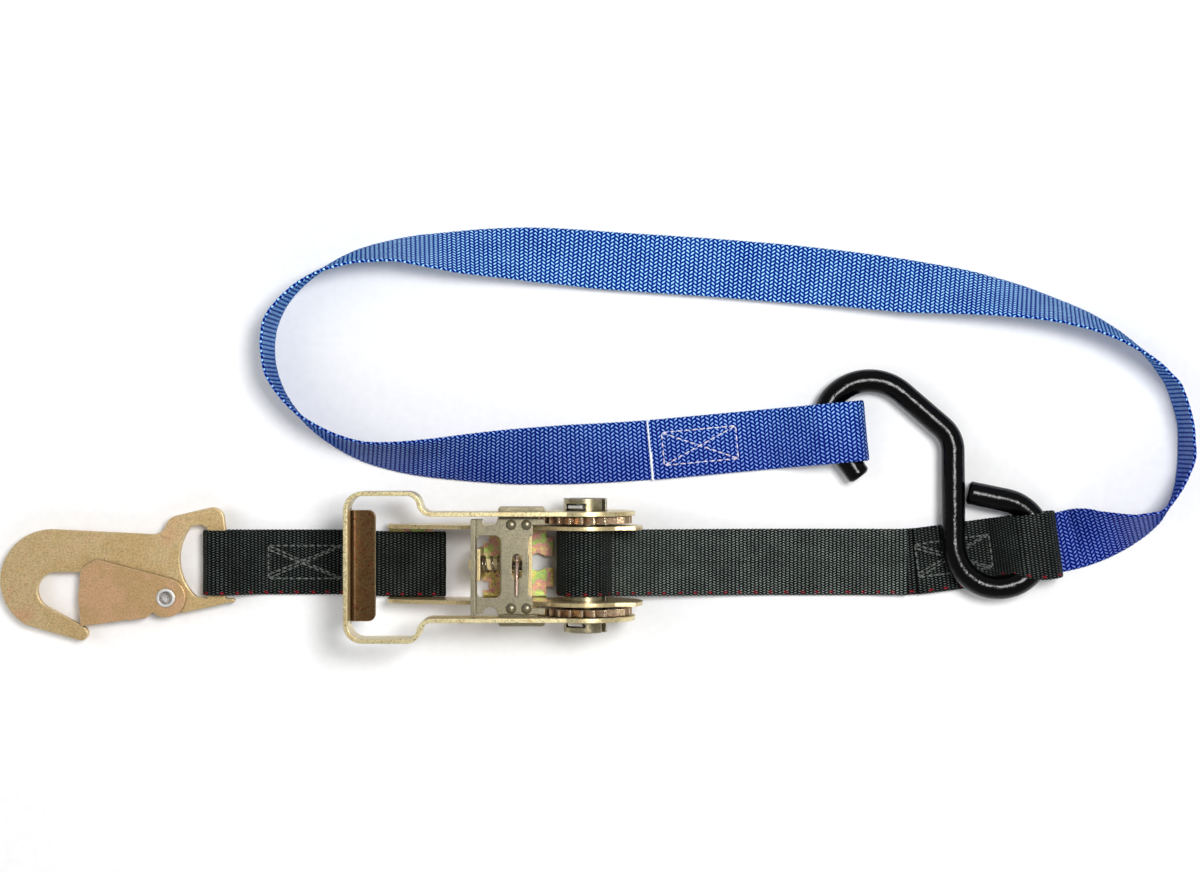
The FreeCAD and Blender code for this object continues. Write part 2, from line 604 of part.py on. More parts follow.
def make_hook_rivet():
    """Tubular rivet, rolled over at both ends."""
    shank, bore, rim, rim_t = 3.0, 2.5, 3.6, 0.7
    face = HOOK_T / 2 + CHEEK_GAP + CHEEK_T + 0.05
    body = rod(V(0, 0, -face - rim_t), V(0, 0, face + rim_t), shank)
    for z in (-face - rim_t, face):
        body = body.fuse(rod(V(0, 0, z), V(0, 0, z + rim_t), rim))
    body = body.cut(rod(V(0, 0, -face - 1), V(0, 0, face + 1), bore))
    rims = [e for e in body.Edges if abs(e.Length - 2 * math.pi * rim) < 0.01]
    outer_rims = [e for e in rims if abs(abs(e.BoundBox.Center.z) - face - rim_t) < 0.01]
    body = body.removeSplitter().makeFillet(0.35, outer_rims)
    return place(body, HOOK_X + RIVET[0], HOOK_Y + RIVET[1], HOOK_Z)


def make_latch_spring():
    """Hairpin spring between the cheeks, pushing the keeper's fold away from the shank."""
    wire = 0.45
    turn = 1.6
    steps = [(14.0,), (turn, -165), (12.0,)]
    pin = bent_wire((18.3, -2.0), -20, steps, wire)
    return place(pin, HOOK_X, HOOK_Y, HOOK_Z)


# ---- straps, drawn in XZ from the spool axis ----
def make_fixed_strap():
    """Short strap sewn into a loop round the snap hook's bar and round the frame's strap bar."""
    eye_x = HOOK_X + sum(HOOK_BAR) / 2 - SPOOL_X
    eye_in, floor = 4.0, HOOK_Z - 4.0 - WEB_T
    double = floor + 2 * WEB_T + GAP
    tongue = eye_x + 17.0
    reach = eye_in + WEB_T
    bar_end = -53.5
    bar_top = FLOOR_Z + FRAME_T + 0.25 + WEB_T
    outer = [(eye_x - reach, floor, reach - 0.05), (bar_end, floor, 2.1), (bar_end, bar_top, 2.1),
             (-79.0, bar_top, 6.0), (-87.0, double, 6.0), (tongue, double, 12.0),
             (eye_x + 3.0, floor + 2 * reach, 6.0), (eye_x - reach, floor + 2 * reach, reach - 0.1)]
    low, high = floor + WEB_T, HOOK_Z + eye_in
    hook_eye = [(eye_x - eye_in, low, eye_in - 0.05), (eye_x + 12.5, low), (eye_x + 2.5, high, 4.0),
                (eye_x - eye_in, high, eye_in - 0.05)]
    bar_eye = [(-82.0, low), (bar_end - WEB_T, low, 0.9), (bar_end - WEB_T, bar_top - WEB_T, 0.9),
               (-78.8, bar_top - WEB_T)]
    half = WEB_W / 2
    strap = side_plate(outer, -half, half)
    for eye in (hook_eye, bar_eye):
        strap = strap.cut(side_plate(eye, -half - 1, half + 1))
    return place(strap, SPOOL_X, RUN_Y, 0)


def descent(start_z):
    """The strap's path from under the spool to the ground, and its rise over the tie's end."""
    spool_run, rise_run = 75.0, 13.0
    lift = WEB_T + GAP
    flat = BEND_X - 5.0 - spool_run - rise_run
    drop = SPOOL_Z - WRAP_R - 0.15 - WEB_T / 2 - (GAP + 1.5 * WEB_T + GAP)
    return ((0.0, start_z), 0, s_bend(spool_run, -drop) + [(flat,)] + s_bend(rise_run, lift))


def layer_strap(top_z, extra):
    """A flat strap leaving the spool; extra is how far it runs past the bend's start."""
    start, heading, steps = descent(top_z)
    face = strip_face(start, heading, steps + [(extra,)], WEB_T)
    return upright(prism(face, -WEB_W / 2, WEB_W / 2))


def make_strap_tail():
    tail_z = SPOOL_Z - WRAP_R - 0.15 - WEB_T / 2
    return place(layer_strap(tail_z, 5.0), SPOOL_X, RUN_Y, 0)


def make_main_strap():
    """Long strap: from the spool along the ground, and sewn back on itself round the S-hook."""
    main_z = SPOOL_Z - WRAP_R - 0.15 - 1.5 * WEB_T - GAP
    run = layer_strap(main_z, 6.0)
    low = 2 * GAP + WEB_T
    double = low + 2 * WEB_T + GAP
    top = 15.5
    end = 60.0
    half = WEB_W / 2
    outer = [(-1.0, low), (end, low, 7.0), (end, top, 7.0), (42.4, top, 4.2), (33.2, double, 3.0),
             (3.0, double), (3.0, low + WEB_T), (-1.0, low + WEB_T)]
    inner = [(34.6, low + WEB_T), (end - WEB_T, low + WEB_T, 5.8), (end - WEB_T, top - WEB_T, 5.8),
             (43.2, top - WEB_T, 3.0)]
    loop = side_plate(outer, -half, half).cut(side_plate(inner, -half - 1, half + 1))
    loop = place(loop, BEND_X, 0, 0, 0)
    loop.rotate(V(BEND_X, 0, 0), UP, BEND_ANGLE)
    strap = place(run.fuse(loop).removeSplitter(), SPOOL_X, RUN_Y, 0)
    # the webbing's edge gives way where the rod of the eye crosses it
    start, heading, steps = s_hook_path()
    return strap.cut(set_s_hook(bent_wire(start, heading, steps, COAT_R + 0.15)))


# ---- soft tie ----
def tie_section(x, y, along, tilt):
    """The webbing's cross-section where its outer edge stands at (x, y)."""
    lean = math.radians(tilt)
    inward = UP.cross(along)
    width = inward * math.cos(lean) + UP * math.sin(lean)
    thick = (UP * math.cos(lean) - inward * math.sin(lean)) * WEB_T
    base = V(x, y, GAP - min(0, thick.z)) + inward * (WEB_T * math.sin(lean))
    far = base + width * TIE_W
    return Part.makePolygon([base, far, far + thick, base + thick, base])


def make_tie_ribbon():
    """The webbing's free run, lofted through cross-sections along its path to the soft loop."""
    steps = 4
    into_loop = V(*polar(1, LOOP_ANGLE), 0)
    last = V(*LOOP_AT, 0) - UP.cross(into_loop) * (TIE_W / 2)
    points = [V(x, y, 0) for x, y, _ in TIE_PATH] + [last]
    tilts = [tilt for _, _, tilt in TIE_PATH] + [0]
    spread = Part.BSplineCurve()
    spread.interpolate(points)
    knots = [spread.parameter(point) for point in points]
    sections = []
    for i in range(len(TIE_PATH)):
        for step in range(steps):
            share = step / steps
            knot = knots[i] + share * (knots[i + 1] - knots[i])
            tilt = tilts[i] + share * (tilts[i + 1] - tilts[i])
            at = spread.value(knot)
            sections.append(tie_section(at.x, at.y, spread.tangent(knot)[0].normalize(), tilt))
    sections.append(tie_section(last.x, last.y, into_loop, 0))
    return Part.makeLoft(sections, True, True)


def make_soft_tie_strap():
    """Blue webbing: sewn under the long strap, carried round, and sewn back into a soft loop."""
    low, top = GAP, 13.2
    double = low + 2 * WEB_T + GAP
    half = TIE_W / 2
    outer = [(0.0, low), (LOOP_L, low, 6.4), (LOOP_L, top, 6.4), (63.0, top, 8.0),
             (44.0, double, 8.0), (-1.9, double), (-1.9, low + WEB_T + GAP), (0.0, low + WEB_T)]
    inner = [(47.0, low + WEB_T), (LOOP_L - WEB_T, low + WEB_T, 5.2),
             (LOOP_L - WEB_T, top - WEB_T, 5.2), (63.5, top - WEB_T, 6.0)]
    loop = side_plate(outer, -half, half).cut(side_plate(inner, -half - 1, half + 1))
    loop = place(loop, LOOP_AT[0], LOOP_AT[1], 0, LOOP_ANGLE)
    return make_tie_ribbon().fuse(loop)


# ---- S-hook ----
def s_hook_path():
    """From the butt end of the eye round to the free tip, in the hook's own plane."""
    start = (5.6, 19.4)
    steps = [(15.0,), (EYE_R, -258.5), (SHANK_L,), (SHOULDER_R, 49.0), (19.8,), (19.06, 86.0),
             (12.8, 82.0), (17.9,)]
    return start, -11.5, steps


def set_s_hook(shape):
    shape.rotate(V(0, 0, 0), V(1, 0, 0), S_HOOK_TILT)
    shape.translate(S_HOOK_AT)
    return shape


def make_s_hook_rod():
    start, heading, steps = s_hook_path()
    return set_s_hook(bent_wire(start, heading, steps, ROD_R))


def make_s_hook_coating():
    start, heading, steps = s_hook_path()
    outside = bent_wire(start, heading, steps, COAT_R)
    inside = bent_wire(start, heading, steps, ROD_R + 0.02)
    return set_s_hook(outside.cut(inside))


# ---- stitching ----
def box_stitch(length, width):
    """A sewn rectangle with both diagonals, as one continuous flat thread."""
    thread, height = 0.8, 0.35
    hx, hy = length / 2, width / 2
    pattern = box(-hx, hx, -hy, hy, 0, height)
    pattern = pattern.cut(box(-hx + thread, hx - thread, -hy + thread, hy - thread, 0, height))
    slope = math.degrees(math.atan2(hy, hx))
    reach = math.hypot(hx, hy) - thread
    for turn in (slope, -slope):
        bar = box(-reach, reach, -thread / 2, thread / 2, 0, height)
        bar.rotate(V(0, 0, 0), UP, turn)
        pattern = pattern.fuse(bar.common(box(-hx, hx, -hy, hy, 0, height)))
    return pattern.removeSplitter()


def make_fixed_strap_stitching():
    top = HOOK_Z - 4.0 + WEB_T + GAP + 0.02
    return place(box_stitch(28.0, 14.0), -113.0, RUN_Y, top)


def make_main_strap_stitching():
    top = 3 * WEB_T + 3 * GAP + 0.02
    seam = place(box_stitch(28.0, 14.0), 18.0, 0, top)
    return place(seam, SPOOL_X + BEND_X, RUN_Y, 0, BEND_ANGLE)


def make_soft_tie_stitching():
    top = 2 * WEB_T + 2 * GAP + 0.02
    seam = place(box_stitch(28.5, 14.0), 17.0, 0, top)
    return place(seam, LOOP_AT[0], LOOP_AT[1], 0, LOOP_ANGLE)


# ---- build ----
def main():
    os.makedirs("parts", exist_ok=True)
    save_ratchet("base_frame", make_base_frame())
    save_ratchet("lock_pawl", make_lock_pawl())
    save_ratchet("lock_pawl_spring", make_lock_pawl_spring())
    save_ratchet("mandrel_half_upper", make_mandrel_half(1))
    save_ratchet("mandrel_half_lower", make_mandrel_half(-1))
    save_ratchet("ratchet_wheels", make_ratchet_wheels())
    save_ratchet("mandrel_pins", make_mandrel_pins())
    save_ratchet("spool_webbing", make_spool_webbing())
    save_ratchet("handle_frame", make_handle_frame())
    save_ratchet("spring_bridge", make_spring_bridge())
    save_ratchet("drive_pawl", make_drive_pawl())
    save_ratchet("pawl_ear_plates", make_pawl_ear_plates())
    save_ratchet("pawl_rivets", make_pawl_rivets())
    save_ratchet("drive_pawl_spring", make_drive_pawl_spring())
    save_ratchet("pawl_split_pin", make_pawl_split_pin())
    save("snap_hook_plate", make_snap_hook_plate())
    save("hook_latch", make_hook_latch())
    save("hook_rivet", make_hook_rivet())
    save("latch_spring", make_latch_spring())
    save("fixed_strap", make_fixed_strap())
    save("fixed_strap_stitching", make_fixed_strap_stitching())
    save("main_strap", make_main_strap())
    save("strap_tail", make_strap_tail())
    save("main_strap_stitching", make_main_strap_stitching())
    save("soft_tie_strap", make_soft_tie_strap())
    save("soft_tie_stitching", make_soft_tie_stitching())
    save("s_hook_rod", make_s_hook_rod())
    save("s_hook_coating", make_s_hook_coating())


main()
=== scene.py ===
import json
import math

import bpy
from mathutils import Matrix, Vector, kdtree, noise


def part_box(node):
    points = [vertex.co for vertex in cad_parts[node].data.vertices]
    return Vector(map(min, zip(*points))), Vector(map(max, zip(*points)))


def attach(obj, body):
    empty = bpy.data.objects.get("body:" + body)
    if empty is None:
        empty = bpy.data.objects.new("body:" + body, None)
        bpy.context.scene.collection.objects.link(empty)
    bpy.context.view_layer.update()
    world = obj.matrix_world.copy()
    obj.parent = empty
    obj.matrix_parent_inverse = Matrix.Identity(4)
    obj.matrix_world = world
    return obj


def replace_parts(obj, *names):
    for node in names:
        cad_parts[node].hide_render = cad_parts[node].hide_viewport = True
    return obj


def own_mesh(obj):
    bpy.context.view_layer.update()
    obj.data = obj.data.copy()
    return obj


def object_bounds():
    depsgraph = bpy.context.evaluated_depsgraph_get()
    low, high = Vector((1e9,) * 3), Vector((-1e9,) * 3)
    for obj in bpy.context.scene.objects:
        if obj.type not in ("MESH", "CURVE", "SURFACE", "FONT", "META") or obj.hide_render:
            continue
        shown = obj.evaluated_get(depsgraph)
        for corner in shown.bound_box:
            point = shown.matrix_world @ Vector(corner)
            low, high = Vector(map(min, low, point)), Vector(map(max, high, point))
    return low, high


# Ratchet tie down laid out flat on a white floor, seen from straight above.
# Lengths are worked in millimetres and turned into metres where a mesh or a lamp is made.

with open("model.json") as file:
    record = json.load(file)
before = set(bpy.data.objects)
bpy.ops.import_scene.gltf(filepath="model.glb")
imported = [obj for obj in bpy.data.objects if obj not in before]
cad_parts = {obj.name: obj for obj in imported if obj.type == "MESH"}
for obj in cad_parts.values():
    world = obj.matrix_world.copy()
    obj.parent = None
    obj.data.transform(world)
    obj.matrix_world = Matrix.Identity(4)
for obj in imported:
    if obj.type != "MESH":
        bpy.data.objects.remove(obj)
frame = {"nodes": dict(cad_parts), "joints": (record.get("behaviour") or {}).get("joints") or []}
CAD_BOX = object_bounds()
MM = 0.001
UP = Vector((0, 0, 1))

# ---- webbing and thread ----
WEB_T, WEB_W, TIE_W = 1.2, 25.4, 23.0
GAP = 0.05                           # air between layers
BLACK_RIB, BLUE_RIB = 1.5, 1.72      # distance from rib to rib along the webbing
BLACK_FLOAT, BLUE_FLOAT = 0.95, 1.5  # distance from float to float across the webbing
TRACER_PITCH = 5.9                   # distance between the red marks of the tracer thread
TRACER_AT = -WEB_W / 2 + 1.25        # its place across the webbing
SEAM_L, SEAM_W = 28.5, 12.6          # sewn box
COAT_R = 4.5                         # S-hook over its coat

# ---- layout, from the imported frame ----
joints = {joint["name"]: joint for joint in frame["joints"]}


def pivot(name):
    return Vector(joints[name]["pos_m"]) / MM


def low(node):
    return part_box(node)[0] / MM


def high(node):
    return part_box(node)[1] / MM


def centre(node):
    return (low(node) + high(node)) / 2


SPOOL = pivot("spool_spin")
HOOK_BAR = pivot("snap_hook_swing")
BEND_ANGLE, LOOP_ANGLE = 7.7, 5.3    # how far the long strap and the soft loop turn in plan
TAIL_END = high("strap_tail").x
PAWL_TRAVEL = max(joints["drive_pawl_slide"]["range_m"]) / MM
HOOK_STEP = 0.9                      # distance from ring to ring along the S-hook


# ---- paths ----
def rounded(corners):
    """Points of an open path; a corner is (a, b) or, when it is rounded, (a, b, radius)."""
    points = []
    for i, corner in enumerate(corners):
        here = Vector(corner[:2])
        if len(corner) == 2:
            points.append(here)
            continue
        back = (Vector(corners[i - 1][:2]) - here).normalized()
        on = (Vector(corners[i + 1][:2]) - here).normalized()
        half = back.angle(on) / 2
        middle = here + (back + on).normalized() * (corner[2] / math.sin(half))
        start = here + back * (corner[2] / math.tan(half)) - middle
        turn = start.angle_signed(here + on * (corner[2] / math.tan(half)) - middle)
        pieces = 8
        for step in range(pieces + 1):
            angle = -turn * step / pieces
            spun = Vector((start.x * math.cos(angle) - start.y * math.sin(angle),
                           start.x * math.sin(angle) + start.y * math.cos(angle)))
            points.append(middle + spun)
    return points


def even(points, spacing):
    """The same path with points at an even distance."""
    lengths = [0.0]
    for one, other in zip(points, points[1:]):
        lengths.append(lengths[-1] + (other - one).length)
    count = max(2, round(lengths[-1] / spacing))
    result, index = [], 0
    for i in range(count + 1):
        at = lengths[-1] * i / count
        while index < len(points) - 2 and lengths[index + 1] < at:
            index += 1
        span = max(1e-9, lengths[index + 1] - lengths[index])
        result.append(points[index].lerp(points[index + 1], (at - lengths[index]) / span))
    return result


def directions(points):
    ahead = points[1:] + [points[-1]]
    behind = [points[0]] + points[:-1]
    return [(b - a).normalized() for a, b in zip(behind, ahead)]


def ease(share):
    share = min(1.0, max(0.0, share))
    return share * share * (3 - 2 * share)


def stand(points, place):
    """Stations of a strap drawn in a vertical plane; place(s) gives the plan point and heading."""
    stations = []
    for point, along in zip(points, directions(points)):
        at, heading = place(point[0])
        ahead = Vector((math.cos(heading), math.sin(heading), 0))
        side = UP.cross(ahead)
        tangent = ahead * along[0] + UP * along[1]
        stations.append((at + UP * point[1], side, tangent.cross(side).normalized()))
    return stations


def bent_path(start, heading, steps, spacing):
    """Middle of a bent rod; a step is (length,) for a straight or (radius, turn) for a bend."""
    turn_step = 4.0
    at, heading = Vector(start + (0,)), math.radians(heading)
    points = [at.copy()]
    for step in steps:
        size = step[0]
        turn = math.radians(step[1]) if len(step) > 1 else 0.0
        count = max(2, round(abs(math.degrees(turn)) / turn_step) if turn else round(size / spacing))
        part = turn / count
        stride = 2 * size * math.sin(abs(part) / 2) if turn else size / count
        for _ in range(count):
            ahead = heading + part / 2
            at = at + Vector((math.cos(ahead), math.sin(ahead), 0)) * stride
            heading += part
            points.append(at.copy())
    return points


def set_on(points, node):
    """Moves the points so that their box has the same middle as the CAD node's."""
    lowest = Vector([min(p[i] for p in points) for i in range(3)])
    highest = Vector([max(p[i] for p in points) for i in range(3)])
    shift = centre(node) - (lowest + highest) / 2
    return [p + shift for p in points]


def s_hook_path():
    """Middle of the bent rod, from the butt end of the eye round to the free tip."""
    steps = ((15.0,), (16.8, -258.5), (35.3,), (12.0, 49.0), (19.8,), (19.06, 86.0), (12.8, 82.0),
             (17.9,))
    points = bent_path((5.6, 19.4), -11.5, steps, 1.2)
    tilt = Matrix.Rotation(math.radians(-2.86), 3, "X")
    return even(set_on([tilt @ p for p in points], "s_hook_coating"), HOOK_STEP)


# ---- meshes ----
def new_object(name, verts, faces, material, uvs=None):
    mesh = bpy.data.meshes.new(name)
    mesh.from_pydata([v * MM for v in verts], [], faces)
    if uvs:
        layer = mesh.uv_layers.new(name="along_and_across")
        for loop in mesh.loops:
            layer.data[loop.index].uv = uvs[loop.vertex_index]
    for face in mesh.polygons:
        face.use_smooth = True
    mesh.materials.append(material)
    made = bpy.data.objects.new(name, mesh)
    bpy.context.scene.collection.objects.link(made)
    return made


def keep_clear(verts, path, distance):
    """Moves the points that are nearer than this to a path straight away from it."""
    tree = kdtree.KDTree(len(path))
    for i, point in enumerate(path):
        tree.insert(point, i)
    tree.balance()
    for i, vert in enumerate(verts):
        nearest, _, away = tree.find(vert)
        if 1e-6 < away < distance:
            verts[i] = nearest + (vert - nearest) * (distance / away)


def webbing(name, stations, width, rib, relief, material, thick=WEB_T, wander=0.12, seed=1.0,
            drawn_in=None, clear_of=None):
    """A woven strip: ribs across it, thin rounded edges with small loops, and slight waves."""
    edge, inner = 0.9, 15            # width of a rounded edge; points between the two edges
    mean_ripple = 0.64
    loop_size = 0.12                 # how far the weft's turns stand out at the edges
    half = width / 2
    across = [-half + edge * (1 - math.cos(a * math.pi / 8)) for a in range(1, 4)]
    across += [(half - edge) * (2 * i / (inner - 1) - 1) for i in range(inner)]
    across += [-v for v in reversed(across[:3])]
    count = len(across)
    verts, uvs, along = [], [], 0.0
    ring = 2 * count + 2
    previous = stations[0][0]
    for at, side, normal in stations:
        along += (at - previous).length
        previous = at
        phase = math.pi * along / rib
        ripple = relief * (abs(math.cos(phase)) - mean_ripple)
        scallop = 1 + loop_size * math.cos(2 * phase) / half
        pull = drawn_in(at) if drawn_in else 0.0

        def push(v, sign):
            beyond = max(0.0, abs(v) - half + edge) / edge
            body = math.sqrt(max(0.0, 1 - beyond * beyond))
            wave = wander * noise.noise(Vector((along * 0.06, v * 0.09, seed)))
            wave += 0.4 * wander * noise.noise(Vector((along * 0.5, v * 0.4, seed + 5)))
            height = sign * body * (thick / 2 + ripple) + wave
            moved = v * scallop + pull * max(0.0, -v / half) ** 1.5
            verts.append(at + side * moved + normal * height)
            uvs.append((along, v))

        push(-half, 0)
        for v in across:
            push(v, 1)
        push(half, 0)
        for v in reversed(across):
            push(v, -1)
    if clear_of:
        keep_clear(verts, *clear_of)
    faces = []
    for i in range(len(stations) - 1):
        for j in range(ring):
            k = (j + 1) % ring
            faces.append((i * ring + j, i * ring + k, (i + 1) * ring + k, (i + 1) * ring + j))
    for base, flip in ((0, False), ((len(stations) - 1) * ring, True)):
        for j in range(count + 1):
            one, other = j, (ring - j) % ring
            quad = [base + one, base + one + 1, base + ring - j - 1, base + other]
            quad = list(dict.fromkeys(quad))
            faces.append(tuple(quad) if flip else tuple(reversed(quad)))
    return new_object(name, verts, faces, material, uvs)


def tube_rings(verts, faces, points, radii, sides=12, squeeze=1.0, up=UP):
    """Adds a closed round tube through the points."""
    first = len(verts)
    tangents = directions(points)
    for point, along, radius in zip(points, tangents, radii):
        side = up.cross(along).normalized()
        top = along.cross(side)
        for k in range(sides):
            angle = 2 * math.pi * k / sides
            verts.append(point + side * radius * math.cos(angle)
                         + top * radius * squeeze * math.sin(angle))
    for i in range(len(points) - 1):
        for k in range(sides):
            n = (k + 1) % sides
            a, b = first + i * sides, first + (i + 1) * sides
            faces.append((a + k, b + k, b + n, a + n))
    last = first + (len(points) - 1) * sides
    faces.append(tuple(first + k for k in range(sides)))
    faces.append(tuple(last + k for k in reversed(range(sides))))


# ---- node trees ----
class Field:
    """A value inside a material's node tree; arithmetic on it adds Math nodes."""

    def __init__(self, tree, socket):
        self.tree, self.socket = tree, socket

    def math(self, operation, *others):
        node = self.tree.nodes.new("ShaderNodeMath")
        node.operation = operation
        for slot, value in enumerate((self,) + others):
            if isinstance(value, Field):
                self.tree.links.new(value.socket, node.inputs[slot])
            else:
                node.inputs[slot].default_value = value
        return Field(self.tree, node.outputs[0])

    def __add__(self, other):
        return self.math("ADD", other)

    def __sub__(self, other):
        return self.math("SUBTRACT", other)

    def __mul__(self, other):
        return self.math("MULTIPLY", other)

    def __truediv__(self, other):
        return self.math("DIVIDE", other)

    def fraction(self):
        return self.math("FRACT")

    def size(self):
        return self.math("ABSOLUTE")

    def between(self, start, end):
        """0 at start, 1 at end, smooth in between."""
        node = self.tree.nodes.new("ShaderNodeMapRange")
        node.interpolation_type = "SMOOTHSTEP"
        self.tree.links.new(self.socket, node.inputs["Value"])
        node.inputs["From Min"].default_value = start
        node.inputs["From Max"].default_value = end
        return Field(self.tree, node.outputs["Result"])


def linear(rgb):
    """Eight-bit display colour to linear light."""
    return tuple(((c / 255 + 0.055) / 1.055) ** 2.4 if c > 10 else c / 255 / 12.92
                 for c in rgb) + (1.0,)


class Surface:
    """A new material with the few nodes that every material here uses."""

    def __init__(self, name):
        self.material = bpy.data.materials.new(name)
        self.material.use_nodes = True
        self.tree = self.material.node_tree
        self.shader = self.tree.nodes["Principled BSDF"]

    def node(self, kind):
        return self.tree.nodes.new(kind)

    def link(self, value, target):
        self.tree.links.new(value.socket if isinstance(value, Field) else value, target)

    def point(self):
        return self.node("ShaderNodeTexCoord").outputs["Object"]

    def along_axes(self):
        """The surface point's X, Y and Z."""
        split = self.node("ShaderNodeSeparateXYZ")
        self.link(self.point(), split.inputs[0])
        return [Field(self.tree, split.outputs[axis]) for axis in range(3)]

    def weave_axes(self):
        """The weave's own coordinates in millimetres: both together, along, and across."""
        uv = self.node("ShaderNodeUVMap")
        uv.uv_map = "along_and_across"
        split = self.node("ShaderNodeSeparateXYZ")
        self.link(uv.outputs["UV"], split.inputs[0])
        return uv.outputs["UV"], Field(self.tree, split.outputs[0]), Field(self.tree, split.outputs[1])

    def noise(self, vector, scale, detail=3.0, rough=0.55):
        cloud = self.node("ShaderNodeTexNoise")
        cloud.inputs["Scale"].default_value = scale
        cloud.inputs["Detail"].default_value = detail
        cloud.inputs["Roughness"].default_value = rough
        self.link(vector, cloud.inputs["Vector"])
        return Field(self.tree, cloud.outputs["Fac"])

    def ramp(self, value, stops):
        ramp = self.node("ShaderNodeValToRGB")
        self.link(value, ramp.inputs["Fac"])
        marks = ramp.color_ramp.elements
        marks[0].position, marks[0].color = stops[0][0], linear(stops[0][1])
        marks[1].position, marks[1].color = stops[-1][0], linear(stops[-1][1])
        for place, rgb in stops[1:-1]:
            marks.new(place).color = linear(rgb)
        return ramp.outputs["Color"]

    def mix(self, share, one, other, mode="MIX"):
        mix = self.node("ShaderNodeMix")
        mix.data_type = "RGBA"
        mix.blend_type = mode
        if isinstance(share, (int, float)):
            mix.inputs["Factor"].default_value = share
        else:
            self.link(share, mix.inputs["Factor"])
        for slot, value in ((6, one), (7, other)):
            if isinstance(value, tuple):
                mix.inputs[slot].default_value = value
            else:
                self.link(value, mix.inputs[slot])
        return mix.outputs[2]

    def bump(self, height, distance, strength=1.0, under=None):
        bump = self.node("ShaderNodeBump")
        bump.inputs["Distance"].default_value = distance
        bump.inputs["Strength"].default_value = strength
        self.link(height, bump.inputs["Height"])
        if under is not None:
            self.link(under, bump.inputs["Normal"])
        return bump.outputs["Normal"]

    def set(self, **values):
        for name, value in values.items():
            socket = self.shader.inputs[name.replace("_", " ")]
            if isinstance(value, Field) or hasattr(value, "is_linked"):
                self.link(value, socket)
            else:
                socket.default_value = value
        return self.material


# ---- materials ----
def traced(s, colour, yarn, fibre, patch, along, across, edge):
    """Adds the red marks of a tracer thread near one edge, and a darker line along the middle."""
    mark = (along / TRACER_PITCH + (patch - 0.5) * 0.5).fraction().between(0.27, 0.2)
    strip = (across - edge).size().between(0.55, 0.3)
    # the red marks are brighter on the float tops as painted glints
    shine = s.ramp(yarn, [(0.0, (44, 2, 8)), (1.0, (160, 18, 38))])
    colour = s.mix(mark * strip * (fibre * 0.6 + 0.6), colour, shine)
    seam = across.size().between(0.5, 0.2) * (fibre + 0.1)
    return s.mix(seam * 0.45, colour, linear((18, 20, 19)))


def woven(name, rib, dash, shades, slant, tracer_edge=None, rough=0.45, depth=0.00024,
          painted_shade_below=None, furrow=0.5, glint=0.5, grain=1.1):
    """Rows of short slanted yarn floats, one row on each rib, leaning left and right in turn; the colour
    is lighter on the float tops as painted glints and darker between the floats as painted shade.

    The webbing can have a red tracer thread along one edge, and painted shade, a darker tint below some
    Y.
    """
    s = Surface(name)
    uv, along, across = s.weave_axes()
    column = along / rib + 0.5
    lean = (column * 0.5).fraction().between(0.499, 0.501) * 2 - 1
    inside = column.fraction() - 0.5
    row = (across / dash + inside * lean * slant + lean * 0.25).fraction() - 0.5
    mound = (inside * inside * -4.0 + 1.0).math("MAXIMUM", 0.0)
    float_top = (row * row * -4.0 + 1.0).math("MAXIMUM", 0.0)
    yarn = mound.math("POWER", furrow) * float_top.math("POWER", grain)
    fibre = s.noise(uv, 2.4, 4.0, 0.7)
    patch = s.noise(uv, 0.09, 2.0)
    # colour: painted glints on the float tops and painted shade between the floats, with random fibre and
    # patch tone
    tone = yarn * 0.92 + (fibre - 0.5) * 0.45 + (patch - 0.5) * 0.22 + 0.04
    colour = s.ramp(tone, shades)
    if tracer_edge is not None:
        colour = traced(s, colour, yarn, fibre, patch, along, across, tracer_edge)
    if painted_shade_below:
        # painted shade: darkened by the tint below the start Y, fading out by the end Y
        start, end, tint = painted_shade_below
        share = s.along_axes()[1].between(start * MM, end * MM)
        shaded_colour = s.mix(1.0, colour, linear(tint), "MULTIPLY")
        colour = s.mix(share, shaded_colour, colour)
    relief = yarn + fibre * 0.25
    edge_on = Field(s.tree, s.node("ShaderNodeLayerWeight").outputs["Facing"])
    s.set(Base_Color=colour, Roughness=fibre * 0.25 + (rough - 0.1),
          Normal=s.bump(relief, depth, 0.9),
          Specular_IOR_Level=edge_on.between(0.85, 0.45) * yarn * glint)
    s.shader.inputs["Sheen Weight"].default_value = 0.02
    s.shader.inputs["Sheen Roughness"].default_value = 0.5
    return s.material


def scratches(s, here, brushed):
    """Fine scratches; on brushed metal they are stretched by the given scales."""
    stretch = s.node("ShaderNodeMapping")
    stretch.inputs["Scale"].default_value = brushed or (3.0, 40.0, 40.0)
    stretch.inputs["Rotation"].default_value = (0.0, 0.0, 0.0 if brushed else 0.8)
    s.link(here, stretch.inputs["Vector"])
    return s.noise(stretch.outputs["Vector"], 60.0, 5.0, 0.7)


def paint_box_shade(s, colour, here, box, tint):
    """Paints shade over what lies in a box, with reddish blotches in it; the box is the middle and half
    size along X, Y and Z.
    """
    inside, soft_edge = 1.0, 0.4
    for place, (middle, reach) in zip(s.along_axes(), box):
        offset = (place - middle * MM).size()
        inside = offset.between((reach + soft_edge) * MM, (reach - soft_edge) * MM) * inside
    shade = s.mix(1.0, colour, linear(tint), "MULTIPLY")
    blotch = s.noise(here, 700.0, 3.0).between(0.52, 0.68) * 0.6
    shade = s.mix(blotch, shade, linear((92, 30, 22)))
    return s.mix(inside, colour, shade)


